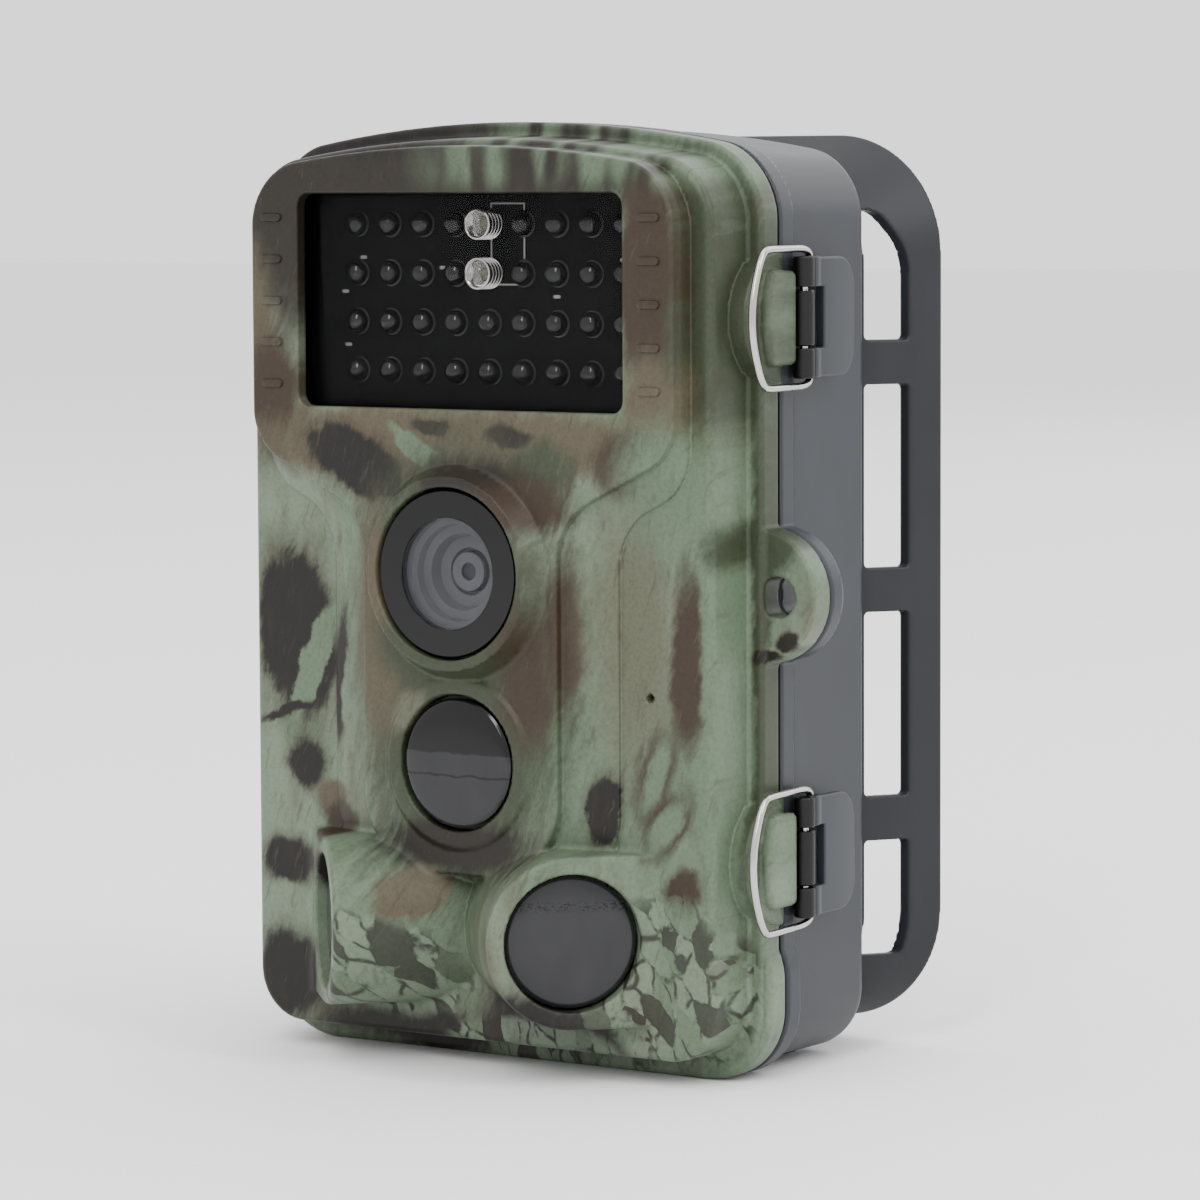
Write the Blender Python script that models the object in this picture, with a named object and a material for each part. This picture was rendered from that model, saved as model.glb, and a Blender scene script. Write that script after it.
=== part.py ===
"""Trail camera: a clamshell housing with a camo front, IR lamp window, lens, three
motion sensors, two draw latches and a strap bracket behind.

Sizes below are in millimetres and the helper functions turn them into metres.
+X is right and +Y is back, seen from in front; +Z is up. The origin is the centre of
the flat bottom of the rear shell's rim, the face that the camera stands on.
"""
import math

import bmesh
import bpy
from mathutils import Matrix, Vector

MM = 0.001
GAP = 0.3                       # clearance between neighbouring pieces

# Depths along Y, front to back
FACE_Y = -21.0                  # raised front panel
BLOCK_Y = -16.1                 # front of the body behind the raised panel
FLANGE_Y = -7.1                 # front of the edge flange
PARTING_Y = -2.2                # back of the front shell
RIM_Y = -1.9                    # front of the rear shell's rim
RIM_BACK_Y = 2.1
BACK_Y = 23.8                   # back of the rear shell
BRACKET_Y = 38.3                # back of the strap bracket

# Case outline in XZ
HALF_W = 45.1
HEIGHT = 142.0                  # top of the arched upper edge
ARCH_R = 204.0
CORNER_TOP_R = 9.5
CORNER_BOTTOM_R = 11.0
FOOT_TOP_Z = 20.0               # the lowest part of the case is a little wider
FOOT_EXTRA = 1.1
WALL = 2.0

# Body block in front of the flange: y, half width, top and bottom
BLOCK_STATIONS = (
    (PARTING_Y - 1.0, 42.4, 139.9, 3.6),
    (FLANGE_Y - 0.3, 42.4, 139.9, 3.6),
    (BLOCK_Y + 1.2, 41.3, 139.5, 3.8),
    (BLOCK_Y, 40.4, 138.9, 4.8),
)

# Front panel features
PANEL_HALF_W = 38.6
PANEL_TOP_Z = 138.4
COLUMN_HALF_W = 17.4
WINDOW_HALF_W = 29.8
WINDOW_Z = (99.3, 131.4)
LENS_Z = 75.0
LENS_HOLE_R = 12.9
CENTER_PIR_Z = 46.5
SIDE_PIR_X = 23.2
SIDE_PIR_Y = -24.5
SIDE_PIR_Z = 21.5
SIDE_PIR_ANGLE = math.radians(45)
PIR_HOUSING_R = 12.9
PIR_HOLE_R = 10.2
MIC_X, MIC_Z = 31.3, 57.5
EAR_Z = 72.3
EAR_X = 44.0
EAR_R = 10.0
EAR_HOLE_X = 47.4
EAR_HOLE_R = 3.0

# IR lamps behind the window
LED_COLUMNS, LED_ROWS = 9, 4
LED_PITCH_X, LED_PITCH_Z = 6.08, 7.4
LED_CENTER_Z = 115.7
LED_R = 2.4

# Hinge on the left and latches on the right
HINGE_X, HINGE_Y = -47.8, -2.05
LATCH_Z = (113.0, 33.2)
LATCH_NAMES = ("upper", "lower")
LEVER_X, LEVER_Y = 47.1, 1.3    # lever's pivot axis
BAIL_X, BAIL_Y = 46.5, 3.8      # bail's pivot axis in the lever
LEVER_HALF_H = 8.9
BAIL_WIRE_R = 0.55

# Slots through both walls of the strap bracket: lower and upper Z
STRAP_SLOTS = ((14.5, 32.3), (39.2, 67.4), (74.2, 102.1), (108.9, 128.5))

# Batteries: two rows of four AA cells, upright
CELL_R, CELL_LEN = 7.1, 50.0
CELL_PITCH = 15.2
CELL_Y = 12.6
CELL_ROW_Z = (42.0, 98.0)       # centre height of each row

# Controls on the inner panel
BUTTONS = {
    "button_up": (0.0, 62.0),
    "button_down": (0.0, 42.0),
    "button_left": (10.0, 52.0),
    "button_right": (-10.0, 52.0),
    "button_ok": (0.0, 52.0),
    "button_menu": (24.0, 52.0),
}
BUTTON_R = 3.4
SWITCH_X, SWITCH_Z = -25.0, 49.0


# ---------------------------------------------------------------- building helpers

def clear_scene():
    for obj in list(bpy.data.objects):
        bpy.data.objects.remove(obj, do_unlink=True)


def material(name, rgb, roughness, metallic=0.0):
    mat = bpy.data.materials.new(name)
    mat.use_nodes = True
    shader = mat.node_tree.nodes["Principled BSDF"]
    shader.inputs["Base Color"].default_value = (*rgb, 1.0)
    shader.inputs["Roughness"].default_value = roughness
    shader.inputs["Metallic"].default_value = metallic
    mat.diffuse_color = (*rgb, 1.0)
    return mat


def is_warped(quad):
    """Whether a quad's corners leave one plane."""
    a, b, c, d = (v.co for v in quad.verts)
    normal = (b - a).cross(c - a)
    return normal.length < 1e-12 or abs(normal.normalized().dot(d - a)) > 1e-8


def solid(name, rings):
    """Closed body lofted through rings of (x, y, z) points in millimetres."""
    bm = bmesh.new()
    loops = [[bm.verts.new(Vector(p) * MM) for p in ring] for ring in rings]
    count = len(loops[0])
    warped = []
    for low, high in zip(loops, loops[1:]):
        for i in range(count):
            j = (i + 1) % count
            face = bm.faces.new((low[i], low[j], high[j], high[i]))
            if is_warped(face):
                warped.append(face)
    bmesh.ops.triangulate(bm, faces=warped)
    bm.faces.new(list(reversed(loops[0])))
    bm.faces.new(loops[-1])
    bmesh.ops.recalc_face_normals(bm, faces=bm.faces)
    mesh = bpy.data.meshes.new(name)
    bm.to_mesh(mesh)
    bm.free()
    obj = bpy.data.objects.new(name, mesh)
    bpy.context.scene.collection.objects.link(obj)
    return obj


def along_y(outline, stations):
    """Rings of an XZ outline at each y of stations."""
    return [[(x, y, z) for x, z in outline] for y in stations]


def prism_y(name, outline, y0, y1):
    return solid(name, along_y(outline, (y0, y1)))


def prism_x(name, outline, x0, x1):
    return solid(name, [[(x, y, z) for y, z in outline] for x in (x0, x1)])


def prism_z(name, outline, z0, z1):
    return solid(name, [[(x, y, z) for x, y in outline] for z in (z0, z1)])


def box(name, low, high):
    corners = [(low[0], low[2]), (high[0], low[2]), (high[0], high[2]), (low[0], high[2])]
    return prism_y(name, corners, low[1], high[1])


def circle(cx, cz, radius, count):
    turn = 2 * math.pi / count
    return [(cx + radius * math.cos(turn * i), cz + radius * math.sin(turn * i))
            for i in range(count)]


def turned(name, center, axis, profile, count=32):
    """Body turned about axis from (distance along axis, radius) steps, ends closed."""
    axis = Vector(axis).normalized()
    side = axis.cross(Vector((0, 0, 1)))
    if side.length < 0.1:
        side = Vector((1, 0, 0))
    side.normalize()
    other = axis.cross(side)
    rings = []
    for dist, radius in profile:
        ring = []
        for x, z in circle(0, 0, radius, count):
            ring.append(Vector(center) + axis * dist + side * x + other * z)
        rings.append(ring)
    return solid(name, rings)


def arc(cx, cz, radius, start, end, count):
    """Points on an arc, angles in degrees, both ends included."""
    points = []
    for i in range(count + 1):
        angle = math.radians(start + (end - start) * i / count)
        points.append((cx + radius * math.cos(angle), cz + radius * math.sin(angle)))
    return points


def rounded_rect(x0, x1, z0, z1, radius, count=4):
    points = arc(x1 - radius, z0 + radius, radius, -90, 0, count)
    points += arc(x1 - radius, z1 - radius, radius, 0, 90, count)
    points += arc(x0 + radius, z1 - radius, radius, 90, 180, count)
    points += arc(x0 + radius, z0 + radius, radius, 180, 270, count)
    return points


def case_outline(inset=0.0, bottom=None, top=None, half_w=None, corner=None):
    """Arch-topped case outline, moved inward by inset."""
    hw = (HALF_W if half_w is None else half_w) - inset
    low = (0.0 if bottom is None else bottom) + inset
    apex = (HEIGHT if top is None else top) - inset
    r_low = max(CORNER_BOTTOM_R - inset, 1.5) if corner is None else corner
    r_top = max(CORNER_TOP_R - inset, 1.5) if corner is None else corner
    big = ARCH_R - inset
    arch_z = apex - big
    cx = hw - r_top
    cz = arch_z + math.sqrt((big - r_top) ** 2 - cx ** 2)
    lean = math.degrees(math.atan2(cz - arch_z, cx))
    points = arc(hw - r_low, low + r_low, r_low, -90, 0, 5)
    points += arc(cx, cz, r_top, 0, lean, 5)
    points += arc(0.0, arch_z, big, lean, 180 - lean, 8)[1:-1]
    points += arc(-cx, cz, r_top, 180 - lean, 180, 5)
    points += arc(-hw + r_low, low + r_low, r_low, 180, 270, 5)
    return points


def combine(target, tool, operation):
    """Boolean of target with tool, kept as target's own mesh; tool is removed."""
    mod = target.modifiers.new(operation, "BOOLEAN")
    mod.operation = operation
    mod.solver = "EXACT"
    mod.object = tool
    depsgraph = bpy.context.evaluated_depsgraph_get()
    mesh = bpy.data.meshes.new_from_object(target.evaluated_get(depsgraph))
    target.modifiers.clear()
    target.data = mesh
    bpy.data.objects.remove(tool, do_unlink=True)


def add(target, *tools):
    for tool in tools:
        combine(target, tool, "UNION")


def cut(target, *tools):
    for tool in tools:
        combine(target, tool, "DIFFERENCE")


def finish(obj, mat, smooth_angle=None, pivot=None):
    """Gives the object its material, shading and, on a moving piece, its pivot."""
    obj.data.materials.clear()
    obj.data.materials.append(mat)
    if smooth_angle is not None:
        obj.data.shade_smooth()
        obj.data.set_sharp_from_angle(angle=math.radians(smooth_angle))
    if pivot is not None:
        place = Vector(pivot) * MM
        obj.data.transform(Matrix.Translation(-place))
        obj.location = place
    return obj


# ---------------------------------------------------------------- front shell

def block_ring(y, half_w, top, bottom):
    return along_y(case_outline(half_w=half_w, top=top, bottom=bottom, corner=8.0), (y,))


def panel_outline():
    """Raised panel: a wide head round the lamp window, narrowing to a column."""
    head = case_outline(half_w=PANEL_HALF_W, bottom=0.0, top=PANEL_TOP_Z, corner=8.0)
    points = [(x, z) for x, z in head if z > 60]
    right = [(COLUMN_HALF_W, 40.0), (COLUMN_HALF_W, 83.0), (PANEL_HALF_W, 93.5)]
    left = [(-x, z) for x, z in reversed(right)]
    return right + points + left


def side_pir_frame(side):
    """Rim centre, axis pointing out of the housing and outward direction of its ring."""
    s, c = math.sin(SIDE_PIR_ANGLE), math.cos(SIDE_PIR_ANGLE)
    center = Vector((side * SIDE_PIR_X, SIDE_PIR_Y, SIDE_PIR_Z))
    return center, Vector((side * s, -c, 0)), Vector((side * c, s, 0))


def side_pir_housing(side):
    """Half-round snout whose flat flanks run out to meet the body."""
    center, axis, outward = side_pir_frame(side)
    outline = arc(0, 0, PIR_HOUSING_R, 90, 270, 18)
    outline += [(14.0, -PIR_HOUSING_R), (14.0, PIR_HOUSING_R)]
    rings = []
    for depth, shrink in ((26.0, 0.0), (0.7, 0.0), (0.0, 0.7)):
        scale = 1 - shrink / PIR_HOUSING_R
        rings.append([center - axis * depth + outward * (x * scale if x < 0 else x)
                      + Vector((0, 0, z * scale)) for x, z in outline])
    return solid("snout", rings)


def half_disc(y0, radius, count=12):
    """D outline in YZ about z 0: flat at y0, bulging to the front."""
    return [(y0 + y, z) for y, z in arc(0, 0, radius, 90, 270, count)]


def ear(name, y0, y1):
    disc = prism_y(name, circle(EAR_X, EAR_Z, EAR_R, 32), y0, y1)
    cut(disc, prism_y("hole", circle(EAR_HOLE_X, EAR_Z, EAR_HOLE_R, 20), y0 - 1, y1 + 1))
    return disc


def hinge_knuckle(y0, y1, z0, z1):
    barrel = prism_z("barrel", circle(HINGE_X, HINGE_Y, 2.2, 20), z0, z1)
    add(barrel, box("web", (HINGE_X, y0, z0), (-HALF_W + 1.2, y1, z1)))
    cut(barrel, prism_z("bore", circle(HINGE_X, HINGE_Y, 1.3, 16), z0 - 1, z1 + 1))
    return barrel


def make_front_shell(mat):
    shell = solid("front_shell", along_y(case_outline(0.7), (FLANGE_Y,))
                  + along_y(case_outline(), (FLANGE_Y + 0.7, PARTING_Y)))
    foot = rounded_rect(-HALF_W - FOOT_EXTRA, HALF_W + FOOT_EXTRA, 0.0, FOOT_TOP_Z + 6, 11.0, 5)
    add(shell, prism_y("foot", foot, FLANGE_Y + 0.3, PARTING_Y))
    add(shell, solid("block", [ring for args in BLOCK_STATIONS for ring in block_ring(*args)]))

    panel = panel_outline()
    head = along_y(panel, (BLOCK_Y + 1.0, FACE_Y + 1.0))
    inner = [(x * 0.975, z + (0.0 if z < 100 else -1.0)) for x, z in panel]
    add(shell, solid("panel", head + along_y(inner, (FACE_Y,))))
    slope = [(-29, -15.0), (-29, -16.7), (-18.5, -19.2), (18.5, -19.2), (29, -16.7), (29, -15.0)]
    add(shell, prism_z("slope", slope, 32.0, 94.0))

    add(shell, turned("lens_bezel", (0, FACE_Y + 3, LENS_Z), (0, -1, 0),
                      ((0, 16.0), (3.0, 16.0), (5.6, 14.9), (6.3, 14.2)), 36))
    add(shell, turned("pir_bezel", (0, FACE_Y + 3, CENTER_PIR_Z), (0, -1, 0),
                      ((0, 13.2), (3.0, 13.2), (3.7, 12.2)), 32))
    for side in (-1, 1):
        add(shell, side_pir_housing(side))
    add(shell, ear("ear", FLANGE_Y + 0.4, PARTING_Y))
    for z in LATCH_Z:
        boss = [(y, z + h) for y, h in half_disc(PARTING_Y, 9.8, 14)]
        add(shell, prism_x("boss", boss, 40.5, 45.6))
        add(shell, prism_x("catch", catch_outline(z), 44.0, 47.2))
        add(shell, hinge_knuckle(HINGE_Y - 2.0, HINGE_Y - 0.4, z - 5.2, z + 5.2))

    hollow_front_shell(shell)
    return finish(shell, mat, 35, (HINGE_X, HINGE_Y, 0))


def catch_outline(z):
    """Latch catch in YZ: square at the parting line, bowed at the front."""
    front = [(-8.6 + 1.6 * (h / 7.1) ** 2, z + h) for h in (-7.1, -4.7, -2.4, 0, 2.4, 4.7, 7.1)]
    return front + [(PARTING_Y - 0.3, z + 7.1), (PARTING_Y - 0.3, z - 7.1)]


def hollow_front_shell(shell):
    """Cavity, lamp window, lens and sensor openings, microphone hole and tally marks."""
    cut(shell, prism_y("cavity", case_outline(5.4, corner=5.0), BLOCK_Y + WALL + 1.6, 8.0))
    cut(shell, prism_y("lamp_bay", rounded_rect(-35.0, 35.0, 94.5, 134.6, 3.0),
                       FACE_Y + 2.5, BLOCK_Y + 5))
    window = rounded_rect(-WINDOW_HALF_W, WINDOW_HALF_W, *WINDOW_Z, 2.0)
    cut(shell, prism_y("window", window, FACE_Y - 1, FACE_Y + 4))
    cut(shell, turned("lens_bore", (0, FACE_Y - 5, LENS_Z), (0, 1, 0),
                      ((0, LENS_HOLE_R), (4.0, LENS_HOLE_R), (4.0, 11.0), (14.0, 11.0)), 36))
    cut(shell, turned("pir_bore", (0, FACE_Y - 3, CENTER_PIR_Z), (0, 1, 0),
                      ((0, 10.4), (5.0, 10.0), (5.0, 8.8), (12.0, 8.8)), 28))
    for side in (-1, 1):
        center, axis, _ = side_pir_frame(side)
        cut(shell, turned("side_bore", center + axis, -axis,
                          ((0, PIR_HOLE_R), (4.0, PIR_HOLE_R), (4.0, 8.6), (20.0, 8.6)), 28))
    cut(shell, prism_y("mic_hole", circle(MIC_X, MIC_Z, 0.6, 12), FACE_Y, BLOCK_Y + 5))
    for side in (-1, 1):
        for row in range(5):
            z = 127.8 - 6.29 * row
            mark = rounded_rect(side * 34.6 - 1.95, side * 34.6 + 1.95, z - 0.65, z + 0.65, 0.6, 1)
            add(shell, prism_y("mark", mark, FACE_Y - 0.4, FACE_Y + 1))


# ---------------------------------------------------------------- optics and lamps

def make_window(mat):
    pane = rounded_rect(-33.5, 33.5, 96.0, 133.2, 2.0)
    return finish(prism_y("ir_window", pane, FACE_Y + 2.5 + GAP, FACE_Y + 4.3), mat)


def led_place(column, row):
    x = (column - (LED_COLUMNS - 1) / 2) * LED_PITCH_X
    z = LED_CENTER_Z + ((LED_ROWS - 1) / 2 - row) * LED_PITCH_Z
    return x, z


def make_led_array(mat):
    """Holder plate with every infrared lamp standing on it."""
    plate = prism_y("ir_led_array", rounded_rect(-30.5, 30.5, 98.0, 133.0, 1.5), -11.7, -10.7)
    for column in range(LED_COLUMNS):
        for row in range(LED_ROWS):
            x, z = led_place(column, row)
            if column == 4 and row < 2:
                cut(plate, prism_y("hole", circle(x, z, LED_R + GAP, 12), -13, -9))
                continue
            dome = ((0, LED_R), (2.6, LED_R), (4.2, LED_R * 0.4))
            add(plate, turned("led", (x, -11.2, z), (0, -1, 0), dome, 8))
    return finish(plate, mat, 60)


def make_white_led(name, row, mat):
    x, z = led_place(4, row)
    dome = ((0, LED_R), (3.9, LED_R), (5.1, LED_R * 0.72), (5.7, LED_R * 0.25))
    return finish(turned(name, (x, -10.6, z), (0, -1, 0), dome, 16), mat, 60)


def make_led_board(mat):
    board = rounded_rect(-33.0, 33.0, 96.0, 132.8, 1.5)
    return finish(prism_y("led_board", board, -10.3, -8.9), mat)


def make_lens_parts(glass, black):
    window = turned("lens_window", (0, FACE_Y - 1 - GAP, LENS_Z), (0, -1, 0),
                    ((0, 12.5), (1.6, 12.2)), 36)
    finish(window, glass, 35)
    barrel = turned("lens_barrel", (0, FACE_Y - 1, LENS_Z), (0, 1, 0),
                    ((0.2, 9.6), (4.6, 9.6), (4.6, 6.9), (9.5, 6.9)), 28)
    cut(barrel, turned("bell", (0, FACE_Y - 2, LENS_Z), (0, 1, 0),
                       ((0, 8.6), (2.6, 7.6), (2.6, 6.6), (4.2, 5.6), (4.2, 4.3),
                        (5.4, 3.5), (12.0, 3.5)), 28))
    finish(barrel, black, 35)
    element = turned("front_lens_element", (0, FACE_Y + 5.5, LENS_Z), (0, -1, 0),
                     ((0, 3.1), (1.6, 3.1), (2.1, 2.2), (2.3, 0.9)), 24)
    finish(element, glass, 60)
    mount = box("lens_mount", (-8.5, -12.2, LENS_Z - 8.5), (8.5, -8.7, LENS_Z + 8.5))
    cut(mount, prism_y("seat", circle(0, LENS_Z, 7.3, 32), -13, -10.2))
    cut(mount, box("well", (-4.5, -11, LENS_Z - 4.5), (4.5, -8, LENS_Z + 4.5)))
    finish(mount, black, 35)
    sensor = box("image_sensor", (-3.6, -9.6, LENS_Z - 3.2), (3.6, -8.7, LENS_Z + 3.2))
    return finish(sensor, glass)


def make_pir(name, center, axis, radius, fresnel, steel):
    """Fresnel lens in its seat and the metal-can sensor behind it."""
    center, axis = Vector(center), Vector(axis)
    lens = turned("pir_lens_" + name, center, axis,
                  ((0, radius), (0.7, radius), (1.25, radius * 0.5)), 28)
    finish(lens, fresnel, 40)
    can = turned("pir_sensor_" + name, center - axis * 9.6, axis,
                 ((0, 4.6), (0.6, 4.6), (0.6, 4.1), (4.2, 4.1)), 16)
    finish(can, steel, 35)


def make_pirs(fresnel, steel):
    make_pir("center", (0, -20.6, CENTER_PIR_Z), (0, -1, 0), 9.7, fresnel, steel)
    for side, name in ((-1, "left"), (1, "right")):
        center, axis, _ = side_pir_frame(side)
        make_pir(name, center - axis * 2.7, axis, 9.8, fresnel, steel)


# ---------------------------------------------------------------- inner panel

def make_inner_panel(mat):
    panel = prism_y("inner_panel", case_outline(5.8, corner=4.6), -5.4, -3.8)
    lip = prism_y("lip", rounded_rect(-30.0, 30.0, 72.5, 117.5, 2.5), -4.5, -3.2)
    add(panel, lip)
    cut(panel, prism_y("screen_hole", rounded_rect(-26.5, 26.5, 75.5, 114.5, 1.0), -6, -2))
    for x, z in BUTTONS.values():
        cut(panel, prism_y("button_hole", circle(x, z, BUTTON_R + GAP, 16), -6, -3))
    slot = rounded_rect(SWITCH_X - 1.6, SWITCH_X + 1.6, SWITCH_Z - 2.2, SWITCH_Z + 8.2, 1.5)
    cut(panel, prism_y("switch_slot", slot, -6, -3))
    for x, z in panel_screw_places():
        cut(panel, prism_y("screw_hole", circle(x, z, 2.6, 12), -4.6, -3))
        cut(panel, prism_y("screw_bore", circle(x, z, 1.4, 8), -6, -3))
    cut(panel, box("card_slot", (15.4, -6, 25.4), (28.1, -3, 41.2)))
    for row in range(4):
        for column in range(4 - row % 2):
            x = -28.0 + column * 2.4 + (row % 2) * 1.2
            cut(panel, prism_y("sound_hole", circle(x, 24.0 + row * 2.1, 0.6, 6), -6, -3))
    return finish(panel, mat, 35)


def panel_screw_places():
    return [(x, z) for z in (14.0, 126.0) for x in (-33.0, 33.0)]


def make_controls(rubber, steel, black, lcd):
    for name, (x, z) in BUTTONS.items():
        cap = turned(name, (x, -6.5, z), (0, 1, 0),
                     ((0, BUTTON_R + 1.0), (0.6, BUTTON_R + 1.0), (0.6, BUTTON_R),
                      (3.8, BUTTON_R)), 16)
        finish(cap, rubber, 35, (x, -6.5, z))
    knob = box("power_switch", (SWITCH_X - 1.1, -6.4, SWITCH_Z - 1.6),
               (SWITCH_X + 1.1, -2.9, SWITCH_Z + 1.6))
    finish(knob, black, None, (SWITCH_X, -4.6, SWITCH_Z))
    for number, (x, z) in enumerate(panel_screw_places(), 1):
        screw = turned(f"panel_screw_{number}", (x, -6.3, z), (0, 1, 0),
                       ((0, 1.1), (1.9, 1.1), (1.9, 2.2), (3.3, 2.0)), 12)
        cut(screw, box("slot_a", (x - 1.4, -3.6, z - 0.25), (x + 1.4, -2, z + 0.25)))
        cut(screw, box("slot_b", (x - 0.25, -3.6, z - 1.4), (x + 0.25, -2, z + 1.4)))
        finish(screw, steel, 35)
    screen = prism_y("display_screen", rounded_rect(-26.2, 26.2, 75.8, 114.2, 0.8), -6.2, -4.0)
    finish(screen, lcd)
    card = box("memory_card", (16.0, -5.2, 26.0), (27.5, -4.4, 40.6))
    finish(card, black)
    speaker = turned("speaker", (-24.4, -5.8, 27.2), (0, -1, 0), ((0, 5.4), (0.9, 5.4)), 20)
    return finish(speaker, black, 35)


def make_main_board(mat):
    board = prism_y("main_board", case_outline(9.0, corner=4.0), -8.4, -7.1)
    return finish(board, mat)


# ---------------------------------------------------------------- rear shell

def make_rear_shell(mat):
    shell = solid("rear_shell", along_y(case_outline(), (RIM_Y, RIM_BACK_Y)))
    foot = rounded_rect(-HALF_W - FOOT_EXTRA, HALF_W + FOOT_EXTRA, 0.0, FOOT_TOP_Z + 6, 11.0, 5)
    add(shell, prism_y("foot", foot, RIM_Y, RIM_BACK_Y - 0.2))
    body = along_y(case_outline(1.0), (RIM_Y + 1, BACK_Y - 3.0))
    body += along_y(case_outline(1.9), (BACK_Y - 0.9,))
    body += along_y(case_outline(3.8), (BACK_Y,))
    add(shell, solid("body", body))
    add(shell, ear("ear", RIM_Y, RIM_Y + 3.4))
    add(shell, turned("tripod_boss", (0, 15.0, 0), (0, 0, 1), ((0, 7.0), (9.0, 7.0)), 32))
    for z in LATCH_Z:
        for low in (z - 12.0, z + 5.5):
            add(shell, hinge_knuckle(HINGE_Y + 0.4, HINGE_Y + 2.4, low, low + 6.5))
        add(shell, prism_z("knuckle", circle(LEVER_X, LEVER_Y, 1.6, 18), z - 4.2, z + 4.2))
        add(shell, box("arm", (43.5, LEVER_Y - 1.3, z - 4.2), (LEVER_X, LEVER_Y + 1.3, z + 4.2)))
    hollow_rear_shell(shell)
    return finish(shell, mat, 35)


def hollow_rear_shell(shell):
    cavity = prism_y("cavity", case_outline(3.6), RIM_Y - 1, BACK_Y - WALL - 0.2)
    cut(cavity, turned("boss_keep", (0, 15.0, 0), (0, 0, 1), ((0, 7.5), (9.0, 7.5)), 32))
    cut(shell, cavity)
    groove = prism_y("groove", case_outline(0.9), RIM_Y - 1, RIM_Y + 1.4)
    cut(groove, prism_y("groove_core", case_outline(2.5), RIM_Y - 2, RIM_Y + 2))
    cut(shell, groove)
    cut(shell, turned("tripod_hole", (0, 15.0, -1), (0, 0, 1), ((0, 4.3), (8.6, 4.3)), 24))
    cut(shell, box("port_hole", (18.0, 11.0, -1), (32.0, 18.0, 5)))
    cut(shell, box("port_seat", (16.0, 9.3, -1), (34.0, 20.6, 1.6)))
    for z in LATCH_Z:
        cut(shell, prism_z("pin_bore", circle(LEVER_X, LEVER_Y, 0.9, 12), z - 5, z + 5))


def make_tripod_insert(mat):
    insert = turned("tripod_insert", (0, 15.0, 0.3), (0, 0, 1), ((0, 3.9), (6.9, 3.9)), 24)
    cut(insert, turned("thread", (0, 15.0, 0), (0, 0, 1), ((0, 3.18), (6.4, 3.18)), 24))
    return finish(insert, mat, 35)


def make_port_flap(mat):
    """Rubber cover over the supply socket, hinged along its back edge."""
    flap = box("port_flap", (16.4, 9.7, 0.2), (33.6, 20.0, 1.3))
    add(flap, box("plug", (19.0, 12.0, 1.0), (31.0, 17.0, 3.2)))
    return finish(flap, mat, None, (25.0, 20.0, 0.7))


def make_dc_jack(mat):
    jack = box("dc_jack", (20.0, 10.4, 5.4), (30.0, 18.6, 11.2))
    cut(jack, prism_z("socket", circle(25.0, 14.5, 3.0, 20), 4, 10))
    return finish(jack, mat, 35)


def make_gasket(mat):
    ring = prism_y("case_gasket", case_outline(1.2), RIM_Y + 0.0, RIM_Y + 1.1)
    cut(ring, prism_y("core", case_outline(2.2), RIM_Y - 1, RIM_Y + 2))
    return finish(ring, mat, 35)


# ---------------------------------------------------------------- strap bracket

def bracket_rim(grow, y):
    """Rounded outline of the flared dish at depth y, moved outward by grow."""
    t = (y - 24.1) / (BRACKET_Y - 24.1)
    hw = 39.4 + 9.5 * t + grow
    low, top = 10.0 - 7.0 * t - grow, 131.0 + 9.3 * t + grow
    radius = 11.0 + 7.5 * t + grow
    return [(x, y, z) for x, z in rounded_rect(-hw, hw, low, top, radius, 7)]


def make_strap_bracket(mat):
    dish = solid("strap_bracket", [bracket_rim(0.0, 24.1), bracket_rim(0.0, BRACKET_Y)])
    cut(dish, solid("hollow", [bracket_rim(-2.1, 26.4), bracket_rim(-2.1, BRACKET_Y + 1)]))
    floor = rounded_rect(-27.0, 27.0, 26.0, 116.0, 8.0)
    cut(dish, prism_y("floor_opening", floor, 23, 27))
    for low, high in STRAP_SLOTS:
        for side in (-1, 1):
            x0, x1 = sorted((side * 33.0, side * 52.0))
            slot = [(27.4, low), (33.6, low), (33.6, high), (27.4, high)]
            if high > 120:
                slot[2:3] = [(33.6, high - 7), (31.5, high - 2)]
            cut(dish, prism_x("slot", slot, x0, x1))
    return finish(dish, mat, 35)


# ---------------------------------------------------------------- batteries

def cell_x(index):
    return (index - 1.5) * CELL_PITCH


def make_battery_tray(mat):
    half_w = 2 * CELL_PITCH + 1.4
    tray = box("battery_tray", (-half_w, 9.5, 11.6), (half_w, 21.2, 128.4))
    for row_z in CELL_ROW_Z:
        bay = box("bay", (-half_w + 1.4, 8, row_z - 27.0), (half_w - 1.4, CELL_Y, row_z + 27.0))
        for index in range(4):
            add(bay, prism_z("trough", circle(cell_x(index), CELL_Y, CELL_R + GAP, 24),
                             row_z - 27.0, row_z + 27.0))
        for z0, z1 in ((row_z - 27.0, row_z - 25.6), (row_z + 25.6, row_z + 27.0)):
            add(bay, box("contact_slot", (-29.0, 8, z0), (29.0, 17.4, z1)))
        cut(tray, bay)
    return finish(tray, mat, 35)


def make_battery_cell(number, mat):
    """AA cell with its nub up or down, alternating along the row."""
    row, index = divmod(number - 1, 4)
    flip = -1 if (index + row) % 2 else 1
    base = (cell_x(index), CELL_Y, CELL_ROW_Z[row] - flip * (CELL_LEN / 2))
    profile = ((0, CELL_R), (CELL_LEN - 1.8, CELL_R), (CELL_LEN - 1.8, 2.7), (CELL_LEN, 2.7))
    cell = turned(f"battery_cell_{number}", base, (0, 0, flip), profile, 16)
    return finish(cell, mat, 35)


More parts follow.
